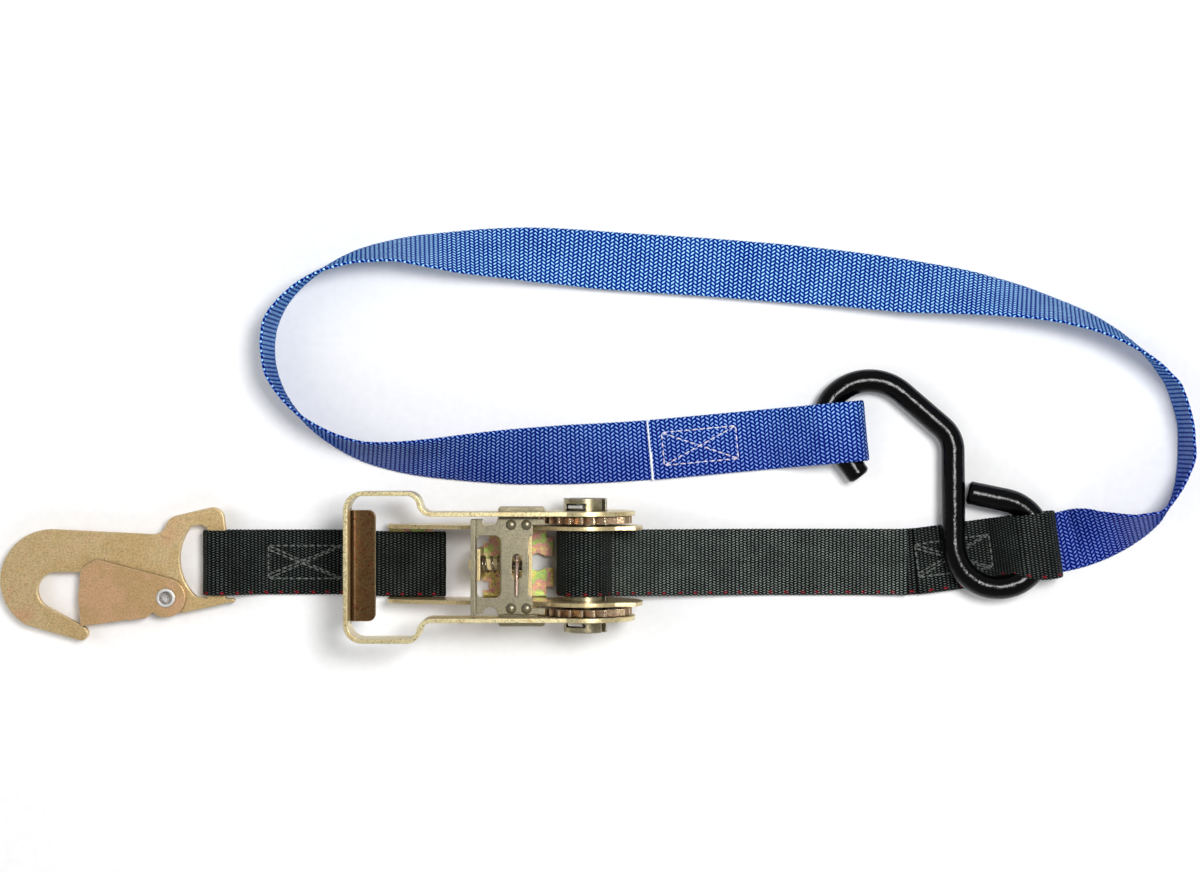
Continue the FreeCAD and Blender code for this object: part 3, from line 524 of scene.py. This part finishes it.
def edge_wear_and_painted_light(s, colour, wear_and_highlight, grain, rounded_normal):
    """Brightens edges, where the rounded normal leaves the true one, as wear and painted highlight, and
    paints shade into crevices.
    """
    true_normal = s.node("ShaderNodeNewGeometry").outputs["Normal"]
    turned = s.node("ShaderNodeVectorMath")
    turned.operation = "DOT_PRODUCT"
    s.link(rounded_normal, turned.inputs[0])
    s.link(true_normal, turned.inputs[1])
    # bright edges: partly wear, partly painted highlight where an edge would catch the light
    edge_wear_and_highlight = Field(s.tree, turned.outputs["Value"]).between(0.995, 0.86) * (grain * 0.6 + 0.5)
    colour = s.mix(edge_wear_and_highlight, colour, linear(wear_and_highlight))
    # painted shade: darker where ambient occlusion finds surfaces close by, standing in for contact
    # shadows in crevices
    shelter = s.node("ShaderNodeAmbientOcclusion")
    shelter.samples = 6
    shelter.inputs["Distance"].default_value = 0.0016
    painted_crevice_shade = Field(s.tree, shelter.outputs["AO"]).between(0.85, 0.35)
    return s.mix(painted_crevice_shade * 0.75, colour, linear((70, 52, 34)), "MULTIPLY")


def plated(name, tones, wear_and_highlight, rough=0.36, speckle=0.5, patch=140.0, metal=0.8, edge_r=0.0005,
           shade_box=None, shade_tint=None, brushed=None, plain_above=None):
    """Plated steel: a clouded tint, fine speckle, scratches, bright edges that are partly wear and partly
    painted highlight, and painted shade in crevices.

    It can have painted shade inside a box, be brushed along one axis, or lose its clouds above a height.
    """
    s = Surface(name)
    here = s.point()
    cloud = s.noise(here, patch, 4.0, 0.6)
    step = 1.0 / (len(tones) - 1)
    colour = s.ramp(cloud, [(0.3 + 0.4 * i * step, tone) for i, tone in enumerate(tones)])
    grain = s.noise(here, 1500.0, 3.0, 0.7)
    speck = s.ramp(grain, [(0.34, (104, 100, 92)), (0.5, (222, 220, 214)), (0.66, (255, 255, 255))])
    colour = s.mix(speckle, colour, speck, "MULTIPLY")
    scratch = scratches(s, here, brushed)
    line = scratch.between(0.60, 0.70) * (0.5 if brushed else 0.28)
    colour = s.mix(line, colour, linear(wear_and_highlight))
    if shade_box:
        colour = paint_box_shade(s, colour, here, shade_box, shade_tint)
    if plain_above:
        start, end, tint = plain_above
        level = s.along_axes()[2].between(start * MM, end * MM)
        plain = s.mix(speckle, linear(tint), speck, "MULTIPLY")
        colour = s.mix(level, colour, plain)
    soft = s.node("ShaderNodeBevel")
    soft.samples = 4
    soft.inputs["Radius"].default_value = edge_r
    fine = s.bump(grain + scratch * 0.4, 0.00004, 0.55, soft.outputs["Normal"])
    colour = edge_wear_and_painted_light(s, colour, wear_and_highlight, grain, soft.outputs["Normal"])
    s.set(Base_Color=colour, Metallic=metal, Roughness=grain * 0.22 + cloud * 0.12 + (rough - 0.16),
          Normal=fine)
    return s.material


def vinyl():
    """Dipped black vinyl: glossy, with the slight orange peel of a dipped coat."""
    s = Surface("black_vinyl")
    here = s.point()
    peel = s.noise(here, 420.0, 2.0)
    dust = s.noise(here, 2600.0, 2.0)
    colour = s.ramp(dust, [(0.4, (2, 2, 2)), (0.62, (4, 4, 5)), (0.8, (22, 22, 24))])
    s.set(Base_Color=colour, Roughness=peel * 0.16 + 0.10,
          Normal=s.bump(peel + dust * 0.12, 0.00022, 0.7))
    s.shader.inputs["Specular IOR Level"].default_value = 0.22
    return s.material


def thread(name, dark, light):
    """Twisted sewing thread."""
    s = Surface(name)
    here = s.point()
    twist = s.node("ShaderNodeTexWave")
    twist.inputs["Scale"].default_value = 420.0
    twist.inputs["Distortion"].default_value = 2.0
    twist.bands_direction = "DIAGONAL"
    s.link(here, twist.inputs["Vector"])
    ply = Field(s.tree, twist.outputs["Fac"])
    fuzz = s.noise(here, 900.0)
    s.set(Base_Color=s.ramp(ply * 0.6 + fuzz * 0.4, [(0.2, dark), (0.75, light)]),
          Roughness=fuzz * 0.2 + 0.5, Normal=s.bump(ply, 0.00008, 0.8))
    s.shader.inputs["Sheen Weight"].default_value = 0.3
    return s.material


def melted():
    """Heat-sealed end of the blue webbing, whitened where it was cut."""
    s = Surface("melted_end")
    cloud = s.noise(s.point(), 900.0, 4.0, 0.7)
    s.set(Base_Color=s.ramp(cloud, [(0.3, (150, 176, 220)), (0.45, (232, 236, 244)),
                                    (0.7, (250, 250, 250))]),
          Roughness=cloud * 0.3 + 0.25, Normal=s.bump(cloud, 0.0002, 0.6))
    return s.material


def paper():
    """White floor with the faintest tooth, lit evenly out to its far edge."""
    s = Surface("white_floor")
    here = s.point()
    tooth = s.noise(here, 300.0)
    reach = s.node("ShaderNodeVectorMath")
    reach.operation = "LENGTH"
    s.link(here, reach.inputs[0])
    far = Field(s.tree, reach.outputs["Value"]).between(0.35, 1.3)
    s.set(Base_Color=s.ramp(tooth, [(0.3, (244, 244, 244)), (0.7, (248, 248, 248))]), Roughness=0.9,
          Normal=s.bump(tooth, 0.00002, 0.2), Emission_Strength=far * 0.85)
    s.shader.inputs["Emission Color"].default_value = (1, 1, 1, 1)
    s.shader.inputs["Specular IOR Level"].default_value = 0.1
    return s.material


# middle and half size along X, Y and Z of a box round the handle's grip flange, where shade from the
# grip's wall is painted
GRIP_FLANGE = ((low("handle_frame").x + 4.43, 7.6), (SPOOL.y, 21.5), (24.0, 6.0))
# tint of the painted shade on the grip flange
FLANGE_SHADE_TINT = (104, 84, 66)
# webbing colours run from the gaps between floats to the float tops: dye and painted shade at the dark
# end, painted glints at the bright end
BLACK_SHADES = [(0.0, (2, 3, 3)), (0.48, (7, 9, 8)), (0.74, (36, 43, 40)), (1.0, (142, 154, 146))]
SHADED_BLACK_SHADES = [(0.0, (1, 1, 1)), (0.56, (3, 4, 4)), (0.8, (18, 24, 22)), (1.0, (100, 110, 104))]
BLUE_SHADES = [(0.0, (1, 10, 84)), (0.42, (5, 38, 156)), (0.64, (52, 136, 226)), (0.84, (176, 232, 255))]
YELLOW = [(246, 222, 164), (252, 238, 186), (248, 230, 176), (238, 210, 150)]
BRONZE = [(250, 216, 158), (240, 206, 146), (246, 216, 162), (244, 196, 150)]

black_web = woven("black_webbing", BLACK_RIB, BLACK_FLOAT, BLACK_SHADES, 0.55, TRACER_AT,
                  furrow=0.35, glint=0.3)
# a darker copy of the same black webbing for the anchor strap, the roll and the long strap: painted shade
shaded_black_web = woven("shaded_black_webbing", BLACK_RIB, BLACK_FLOAT, SHADED_BLACK_SHADES, 0.55, TRACER_AT,
                 furrow=0.35, glint=0.22)
# the blue webbing gets painted shade below Y -40 mm, fading out by Y 60 mm
blue_web = woven("blue_webbing", BLUE_RIB, BLUE_FLOAT, BLUE_SHADES, 0.75, None, 0.4, 0.0003,
                 (-40.0, 60.0, (160, 146, 206)), furrow=0.65, glint=0.35, grain=1.5)
frame_zinc = plated("frame_zinc", [(222, 196, 104), (244, 228, 140), (238, 158, 158), (176, 222, 118),
                                   (244, 222, 126)], (250, 240, 205), 0.3, 0.35, 150.0, 0.7,
                    plain_above=(3.0, 6.0, (236, 214, 160)))
handle_zinc = plated("handle_zinc", YELLOW, (252, 240, 200), 0.3, 0.5, 160.0, 0.75,
                     shade_box=GRIP_FLANGE, shade_tint=FLANGE_SHADE_TINT)
pawl_zinc = plated("pawl_zinc", [(138, 132, 112), (156, 148, 124), (146, 138, 116)], (222, 212, 186),
                   0.34, 0.4, 150.0, 0.8)
mandrel_zinc = plated("mandrel_zinc", [(140, 130, 104), (172, 162, 132), (196, 188, 160)],
                      (226, 220, 196), 0.3, 0.35, 200.0, 0.85, brushed=(40.0, 2.0, 40.0))
wheel_bronze = plated("wheel_bronze", [(206, 172, 134), (234, 208, 166), (222, 180, 150),
                                       (240, 222, 180)], (255, 240, 206), 0.2, 0.3, 420.0, 0.9)
hook_bronze = plated("hook_bronze", BRONZE, (255, 248, 210), 0.34, 0.42, 60.0, 0.68, 0.0007)
latch_bronze = plated("latch_bronze", [(236, 196, 144), (226, 186, 132), (238, 192, 146),
                                       (232, 186, 138)], (255, 240, 192), 0.36, 0.35, 70.0, 0.68, 0.0006)
bright_steel = plated("bright_steel", [(222, 220, 216), (242, 240, 236)], (255, 255, 252), 0.45, 0.05,
                      200.0, 0.7)
pin_steel = plated("pin_steel", [(196, 158, 138), (226, 200, 186)], (255, 240, 228), 0.4, 0.2, 260.0, 0.8)
spring_steel = plated("spring_steel", [(150, 138, 120), (188, 176, 156)], (236, 230, 214), 0.26, 0.3,
                      220.0, 0.9)
coat = vinyl()
grey_thread = thread("grey_thread", (36, 40, 38), (112, 116, 110))
pale_thread = thread("pale_thread", (196, 176, 206), (250, 244, 250))
sealed = melted()


# ---- metal pieces carried over from the frame ----
def carry(node, material, edge=0.0):
    """Keeps a CAD node, gives it its material and, where asked for, broken edges of this width."""
    piece = frame["nodes"][node]
    piece.data.materials.clear()
    piece.data.materials.append(material)
    if edge:
        weld = piece.modifiers.new("weld", "WELD")
        weld.merge_threshold = 2e-6
        bevel = piece.modifiers.new("broken_edges", "BEVEL")
        bevel.width = edge * MM
        bevel.segments = 2
        bevel.limit_method = "ANGLE"
        bevel.angle_limit = math.radians(40)
        bevel.harden_normals = True


for node, material, edge in (
        ("base_frame", frame_zinc, 0.0), ("lock_pawl", frame_zinc, 0.0),
        ("mandrel_half_upper", mandrel_zinc, 0.0), ("mandrel_half_lower", mandrel_zinc, 0.0),
        ("ratchet_wheels", wheel_bronze, 0.0), ("mandrel_pins", bright_steel, 0.0),
        ("handle_frame", handle_zinc, 0.0), ("spring_bridge", handle_zinc, 0.0),
        ("drive_pawl", pawl_zinc, 0.0), ("pawl_ear_plates", pawl_zinc, 0.0),
        ("pawl_rivets", pawl_zinc, 0.0), ("pawl_split_pin", pin_steel, 0.0),
        ("snap_hook_plate", hook_bronze, 0.4), ("hook_latch", latch_bronze, 0.3),
        ("hook_rivet", bright_steel, 0.0)):
    carry(node, material, edge)


# ---- black straps ----
def straight(s):
    return Vector((SPOOL.x + s, SPOOL.y, 0)), 0.0


def beside(shift, begin=None):
    """Plan of webbing that has worked across to one side wall of the ratchet's frame."""
    eased_l = 30.0

    def plan(s):
        share = 1.0 if begin is None else ease((s - begin) / eased_l)
        return straight(s)[0] + Vector((0, shift * share, 0)), 0.0

    return plan


def bent(s):
    """Plan of the long strap: straight, then turning towards the S-hook."""
    start, turn_l = TAIL_END - SPOOL.x - 4.0, 12.0
    angle = math.radians(BEND_ANGLE)
    if s <= start:
        return straight(s)
    inside = min(s - start, turn_l)
    heading = angle * inside / turn_l
    radius = turn_l / angle
    x = start + radius * math.sin(heading)
    y = radius * (1 - math.cos(heading))
    rest = s - start - inside
    at = Vector((SPOOL.x + x + rest * math.cos(heading), SPOOL.y + y + rest * math.sin(heading), 0))
    return at, heading


def descent(start_z, end_z, until):
    """From under the spool down to the ground and over the end of the blue webbing."""
    drop_l, climb_l, pieces = 75.0, 13.0, 200
    climb_end = TAIL_END - SPOOL.x - 5.0
    flat_z = end_z - WEB_T - GAP
    points = []
    for i in range(pieces + 1):
        s = until * i / pieces
        z = start_z + (flat_z - start_z) * ease(s / drop_l)
        z += (end_z - flat_z) * ease((s - climb_end + climb_l) / climb_l)
        points.append(Vector((s, z)))
    return points


def build_anchor_strap():
    """Short strap: a sewn eye round the snap hook's bar and a turn round the bar of the frame."""
    ground = low("fixed_strap").z + WEB_T / 2
    second = ground + WEB_T + GAP
    eye = HOOK_BAR.x - SPOOL.x
    around = HOOK_BAR.z - ground
    eye_top = ground + 2 * around
    bar_end = high("fixed_strap").x - SPOOL.x - WEB_T / 2
    on_floor = 3.95                      # height of the upper layer over the frame's floor
    climb_start, climb_end = -87.0, -79.0
    cut = -110.0                         # where the strap's two ends meet
    corners = [(cut, ground), (eye - around, ground, around - 0.05),
               (eye - around, eye_top, around - 0.05), (eye + 3.0, eye_top, 6.0),
               (eye + 17.0, second, 12.0), (climb_start, second, 6.0), (climb_end, on_floor, 6.0),
               (bar_end, on_floor, 1.6), (bar_end, ground, 1.6), (cut - 0.3, ground)]
    path = even(rounded(corners), BLACK_RIB / 4)
    strap = webbing("anchor_webbing", stand(path, beside(-0.7, -100.0)), WEB_W - 0.6, BLACK_RIB, 0.12,
                    shaded_black_web, seed=2.0)
    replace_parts(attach(strap, "frame"), "fixed_strap")


def build_loose_tail(leaving, layer, end):
    """The end that hangs out of the mandrel's slot; its cut end curls up a little."""
    curl, curl_l = 0.35, 7.0
    path = [Vector((p.x, p.y + curl * ease((p.x - end + curl_l) / curl_l)))
            for p in descent(leaving, layer, end)]
    strap = webbing("loose_tail", stand(even(path, BLACK_RIB / 4), straight), WEB_W, BLACK_RIB, 0.12,
                    black_web, seed=3.0)
    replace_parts(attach(strap, "frame"), "strap_tail")


def build_long_strap(leaving, layer, end):
    """The strap that runs from the spool to the S-hook, folded round its eye and sewn down."""
    below = layer - WEB_T - GAP
    fold = end + 57.5 - WEB_T / 2
    top = high("main_strap").z - WEB_T / 2
    run = descent(leaving - WEB_T - GAP, below, end - 3.0)
    turn = rounded([(end, below), (fold, below, 6.4), (fold, top, 6.4), (end + 42.4, top, 3.8),
                    (end + 33.4, layer, 3.6), (end + 3.2, layer)])
    eye_x = centre("s_hook_coating").x + 25.0
    pinch, pinch_l = 3.4, 34.0

    def drawn_in(at):
        """The eye of the S-hook pushes in the edge of the layer that rises over it."""
        if at.z < layer + 0.3 or abs(at.x - eye_x) > pinch_l / 2:
            return 0.0
        return pinch * math.cos(math.pi * (at.x - eye_x) / pinch_l) ** 2

    strap = webbing("long_webbing", stand(even(run + turn, BLACK_RIB / 4), bent), WEB_W, BLACK_RIB, 0.12,
                    shaded_black_web, seed=4.0, drawn_in=drawn_in, clear_of=(s_hook_path(), COAT_R + 0.1))
    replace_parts(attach(strap, "frame"), "main_strap")


def build_straps():
    roll_r, air = 10.9, 0.15
    leaving = SPOOL.z - roll_r - air - WEB_T / 2
    layer = low("main_strap_stitching").z - WEB_T / 2
    end = TAIL_END - SPOOL.x
    build_anchor_strap()
    build_loose_tail(leaving, layer, end)
    build_long_strap(leaving, layer, end)


def build_roll():
    """The webbing wound on the mandrel: two arms from the slot, each spiralling outwards."""
    thick, inner = 0.95, 8.66
    slope = 1.8                          # growth of the radius in one turn
    slot = math.radians(30)
    short_turns, long_turns = 0.667, 1.167

    def arm(start, turns):
        steps = int(90 * turns)
        points = []
        for i in range(steps + 1):
            turned = turns * i / steps
            angle = start + 2 * math.pi * turned
            radius = inner + slope * turned
            points.append(Vector((radius * math.cos(angle), radius * math.sin(angle) + SPOOL.z)))
        return points

    points = list(reversed(arm(slot, short_turns))) + arm(slot + math.pi, long_turns)
    stations = stand(even(points, BLACK_RIB / 4), beside(0.9))
    roll = webbing("wound_webbing", stations, WEB_W - 1.0, BLACK_RIB, 0.1, shaded_black_web, thick, 0.05, 6.0)
    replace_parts(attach(roll, "spool"), "spool_webbing")


# ---- blue soft tie ----
def cad_sections(node, width, thick):
    """Cross-sections of a lofted strap, read from the edges of its CAD mesh that run across it."""
    mesh = frame["nodes"][node].data
    fit = 0.01
    spans = {}
    for edge in mesh.edges:
        one, other = (mesh.vertices[i].co / MM for i in edge.vertices)
        if abs((one - other).length - width) < fit:
            key = tuple(round(c, 2) for c in (one + other) / 2)
            spans[key] = (one, other)
    spans = list(spans.values())
    sections, used = [], set()
    for i, (one, other) in enumerate(spans):
        if i in used:
            continue
        middle = (one + other) / 2
        for j in range(i + 1, len(spans)):
            third, fourth = spans[j]
            if j not in used and abs(((third + fourth) / 2 - middle).length - thick) < fit:
                used.update((i, j))
                across = (other - one).normalized()
                if across.dot(fourth - third) < 0:
                    third, fourth = fourth, third
                sections.append(((one + other + third + fourth) / 4, across))
                break
    return sections


def tie_sections(start, ahead, left):
    """Sections of the soft tie's free run, in order from under the loose tail to its seam."""
    near = 3.0
    free = []
    for at, across in cad_sections("soft_tie_strap", TIE_W, WEB_T):
        local = at - start
        if local.dot(ahead) <= -near or abs(local.dot(left)) >= near:
            free.append((at, across))
    under_tail = Vector((TAIL_END, SPOOL.y, 0.0))
    chain = [min(free, key=lambda s: (s[0] - under_tail).length)]
    free.remove(chain[0])
    while free:
        nearest = min(free, key=lambda s: (s[0] - chain[-1][0]).length)
        free.remove(nearest)
        if chain[-1][1].dot(nearest[1]) < 0:
            nearest = (nearest[0], -nearest[1])
        chain.append(nearest)
    if chain[-1][1].dot(left) < 0:
        chain = [(at, -across) for at, across in chain]
    return chain + [(start, left)]


def smooth_run(chain, spacing):
    """Stations on a smooth curve through the sections, without the last one."""
    pairs = []
    last = len(chain) - 1
    for i in range(last):
        near = (chain[max(0, i - 1)], chain[i], chain[i + 1], chain[min(last, i + 2)])
        count = max(1, round((chain[i + 1][0] - chain[i][0]).length / spacing))
        for k in range(count):
            t = k / count
            weights = ((-t + 2 * t * t - t ** 3) / 2, (2 - 5 * t * t + 3 * t ** 3) / 2,
                       (t + 4 * t * t - 3 * t ** 3) / 2, (t ** 3 - t * t) / 2)
            at = sum((s[0] * w for s, w in zip(near, weights)), Vector())
            across = sum((s[1] * w for s, w in zip(near, weights)), Vector())
            pairs.append((at, across.normalized()))
    tangents = directions([at for at, _ in pairs])
    return [(at, across, along.cross(across).normalized())
            for (at, across), along in zip(pairs, tangents)]


def build_sealed_end(end, ahead, left):
    """Whitened, heat-sealed end of the blue webbing."""
    verts, faces, points, radii = [], [], [], []
    count = 48
    for i in range(count):
        v = TIE_W * (i / (count - 1) - 0.5) * 1.01
        ragged = noise.noise(Vector((v * 0.9, 3.0, 1.0)))
        points.append(end + left * v + ahead * 0.3 * ragged)
        radii.append(0.62 + 0.14 * ragged)
    tube_rings(verts, faces, points, radii, 10, 0.95)
    bead = new_object("soft_tie_sealed_end", verts, faces, sealed)
    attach(bead, "frame")


def build_soft_tie():
    """The blue strap's free run, then its end loop over the free leg of the S-hook."""
    heading = math.radians(LOOP_ANGLE)
    ahead = Vector((math.cos(heading), math.sin(heading), 0))
    left = UP.cross(ahead)
    seam = centre("soft_tie_stitching")
    start = Vector((seam.x, seam.y, 0)) - ahead * 17.0
    start.z = low("soft_tie_strap").z + WEB_T / 2
    stations = smooth_run(tie_sections(start, ahead, left), BLUE_RIB / 4)

    ground = start.z
    second = ground + WEB_T + GAP
    reach, top = 80.0, 12.6
    loop = rounded([(0.0, ground), (reach, ground, 5.8), (reach, top, 5.8), (63.0, top, 7.4),
                    (44.0, second, 8.6), (-1.9, second)])

    def plan(s):
        return Vector((start.x, start.y, 0)) + ahead * s, heading

    stations += stand(even(loop, BLUE_RIB / 4), plan)
    tie = webbing("soft_tie_webbing", stations, TIE_W, BLUE_RIB, 0.2, blue_web, wander=0.3, seed=9.0)
    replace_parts(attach(tie, "frame"), "soft_tie_strap")
    build_sealed_end(plan(-2.0)[0] + UP * (second + 0.05), ahead, left)


# ---- stitching ----
def sew(name, node, material, heading, stitch, gap, radius, double):
    """Single stitches round a box and along its diagonals."""
    middle = centre(node)
    surface = low(node).z
    ahead = Vector((math.cos(math.radians(heading)), math.sin(math.radians(heading)), 0))
    side = UP.cross(ahead)
    hx, hy = SEAM_L / 2, SEAM_W / 2
    rows = [((-hx, -hy), (hx, -hy)), ((hx, -hy), (hx, hy)), ((hx, hy), (-hx, hy)),
            ((-hx, hy), (-hx, -hy)), ((-hx, -hy), (hx, hy)), ((-hx, hy), (hx, -hy))]
    if double:
        inset = 1.5
        rows += [((-hx, -hy + inset), (hx - inset, hy)), ((-hx, hy - inset), (hx - inset, -hy))]
    pieces, margin = 6, 0.12             # steps in a stitch; share of the pitch free at each end
    verts, faces = [], []
    for (ax, ay), (bx, by) in rows:
        length = math.hypot(bx - ax, by - ay)
        count = max(1, round(length / (stitch + gap)))
        for i in range(count):
            points, radii = [], []
            for k in range(pieces + 1):
                share = (i + margin + (1 - 2 * margin) * k / pieces) / count
                x, y = ax + (bx - ax) * share, ay + (by - ay) * share
                sway = 0.10 * noise.noise(Vector((x, y, heading + i)))
                arch = math.sin(math.pi * k / pieces)
                lift = radius * (1.7 * arch - 0.7)
                points.append(Vector((middle.x, middle.y, surface + lift)) + ahead * (x + sway)
                              + side * (y + sway))
                radii.append(radius * (0.55 + 0.45 * arch))
            tube_rings(verts, faces, points, radii, 8)
    seam = new_object(name, verts, faces, material)
    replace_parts(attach(seam, "frame"), node)


# ---- S-hook ----
def build_s_hook():
    """The bent rod in its coat, with a rounded lip at both ends."""
    lip = 1.1
    points = s_hook_path()
    last = len(points) - 1
    radii = []
    for i in range(len(points)):
        radius = COAT_R - 0.02 + 0.05 * noise.noise(Vector((i * 0.09, 0.0, 2.0)))
        from_end = min(i, last - i) * HOOK_STEP
        if from_end < lip:
            radius -= lip * (1 - math.sqrt(max(0.0, 1 - (1 - from_end / lip) ** 2)))
        radii.append(radius)
    verts, faces = [], []
    tube_rings(verts, faces, points, radii, 40)
    hook = new_object("s_hook", verts, faces, coat)
    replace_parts(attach(hook, "frame"), "s_hook_coating", "s_hook_rod")


# ---- springs ----
def build_spring(name, node, body, points, wire, axis, keep):
    """A wire spring along the given points, carried by the given body."""
    verts, faces = [], []
    tube_rings(verts, faces, points, [wire] * len(points), 10, up=Vector(axis))
    spring = new_object(name, verts, faces, spring_steel)
    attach(spring, body)
    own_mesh(spring)
    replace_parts(spring, node)


def coil_path(node, wire, turns, closed):
    """Middle of the wire of a compression spring along X, with closed coils at both ends."""
    start, end, middle = low(node).x + wire, high(node).x - wire, centre(node)
    radius = (high(node).z - low(node).z) / 2 - wire
    slack, per_turn = 1.05, 36
    flat = closed * 2 * wire * slack
    steps = per_turn * (turns + 2 * closed)
    points = []
    for i in range(steps + 1):
        turned = i / per_turn
        open_share = min(1.0, max(0.0, (turned - closed) / turns))
        x = start + flat * min(1.0, turned / closed) + (end - start - 2 * flat) * open_share
        x += flat * max(0.0, (turned - closed - turns) / closed)
        angle = 2 * math.pi * turned
        points.append(Vector((x, middle.y + radius * math.cos(angle),
                              middle.z + radius * math.sin(angle))))
    return points


def build_springs():
    for name, node, body, joint, wire, turns in (
            ("drive_pawl_coil", "drive_pawl_spring", "handle", "drive_pawl_slide", 0.35, 4),
            ("lock_pawl_coil", "lock_pawl_spring", "frame", "lock_pawl_slide", 0.4, 2)):
        length = high(node).x - low(node).x
        build_spring(name, node, body, coil_path(node, wire, turns, 1), wire, (1, 0, 0),
                     1 - PAWL_TRAVEL / length)
    wire = 0.45
    hairpin = set_on(bent_path((18.3, -2.0), -20, ((14.0,), (1.6, -165), (12.0,)), 1.0),
                     "latch_spring")
    build_spring("latch_hairpin", "latch_spring", "snap_hook", hairpin, wire,
                 (0, 1, 0), 0.15)


build_straps()
build_roll()
build_soft_tie()
sew("anchor_stitches", "fixed_strap_stitching", grey_thread, 0.0, 2.2, 0.5, 0.34, True)
sew("long_strap_stitches", "main_strap_stitching", grey_thread, BEND_ANGLE, 2.2, 0.5, 0.34, True)
sew("soft_tie_stitches", "soft_tie_stitching", pale_thread, LOOP_ANGLE, 2.3, 0.6, 0.27, False)
build_s_hook()
build_springs()


# ---- floor, light and camera ----
def softbox(name, place, size, watts, mirrored):
    """A rectangular lamp aimed at the middle; where it isn't mirrored, metal doesn't show it."""
    data = bpy.data.lights.new(name, "AREA")
    data.shape = "RECTANGLE"
    data.size, data.size_y = size
    data.energy = watts
    lamp = bpy.data.objects.new(name, data)
    lamp.location = place
    lamp.rotation_euler = (-Vector(place)).to_track_quat("-Z", "Y").to_euler()
    lamp.visible_glossy = mirrored
    bpy.context.scene.collection.objects.link(lamp)


def build_floor():
    size = 5.0
    ground = -0.0003                     # just under the lowest pieces
    mesh = bpy.data.meshes.new("floor")
    mesh.from_pydata([(-size, -size, ground), (size, -size, ground), (size, size, ground),
                      (-size, size, ground)], [], [(0, 1, 2, 3)])
    mesh.materials.append(paper())
    floor = bpy.data.objects.new("floor", mesh)
    bpy.context.scene.collection.objects.link(floor)


def build_surroundings():
    """Soft grey light from all round, dimmer overhead; the camera itself sees plain white."""
    world = bpy.data.worlds.new("studio")
    bpy.context.scene.world = world
    world.use_nodes = True
    tree = world.node_tree
    split = tree.nodes.new("ShaderNodeSeparateXYZ")
    tree.links.new(tree.nodes.new("ShaderNodeTexCoord").outputs["Generated"], split.inputs[0])
    ramp = tree.nodes.new("ShaderNodeValToRGB")
    tree.links.new(split.outputs[2], ramp.inputs["Fac"])
    marks = ramp.color_ramp.elements
    marks[0].position, marks[0].color = 0.0, (0.75, 0.75, 0.75, 1)
    marks[1].position, marks[1].color = 0.9, (0.42, 0.42, 0.43, 1)
    seen = tree.nodes.new("ShaderNodeMix")
    seen.data_type = "RGBA"
    tree.links.new(tree.nodes.new("ShaderNodeLightPath").outputs["Is Camera Ray"],
                   seen.inputs["Factor"])
    tree.links.new(ramp.outputs["Color"], seen.inputs[6])
    seen.inputs[7].default_value = (1.9, 1.9, 1.9, 1)
    tree.links.new(seen.outputs[2], tree.nodes["Background"].inputs["Color"])
    tree.nodes["Background"].inputs["Strength"].default_value = 0.5


def build_studio():
    build_floor()
    build_surroundings()
    softbox("key", (0.26, 0.16, 1.0), (0.3, 0.3), 8.4, True)
    softbox("left_fill", (-0.8, 0.1, 0.7), (0.5, 0.9), 3.0, False)
    softbox("front_fill", (0.1, -0.9, 0.7), (1.0, 0.4), 2.0, False)


def build_camera():
    """Straight above the middle of the layout, close enough to show the sides of tall parts."""
    lowest, highest = CAD_BOX
    middle = (lowest + highest) / 2
    distance, aside_x, aside_y = 0.85, 0.0028, -0.0011
    margin = 1.021
    covered = (highest.x - lowest.x) * margin
    data = bpy.data.cameras.new("camera")
    data.sensor_width = 36.0
    data.lens = data.sensor_width * distance / covered
    camera = bpy.data.objects.new("camera", data)
    camera.location = (middle.x + aside_x, middle.y + aside_y, distance)
    bpy.context.scene.collection.objects.link(camera)
    bpy.context.scene.camera = camera


build_studio()
build_camera()
bpy.context.scene.view_settings.view_transform = "Standard"
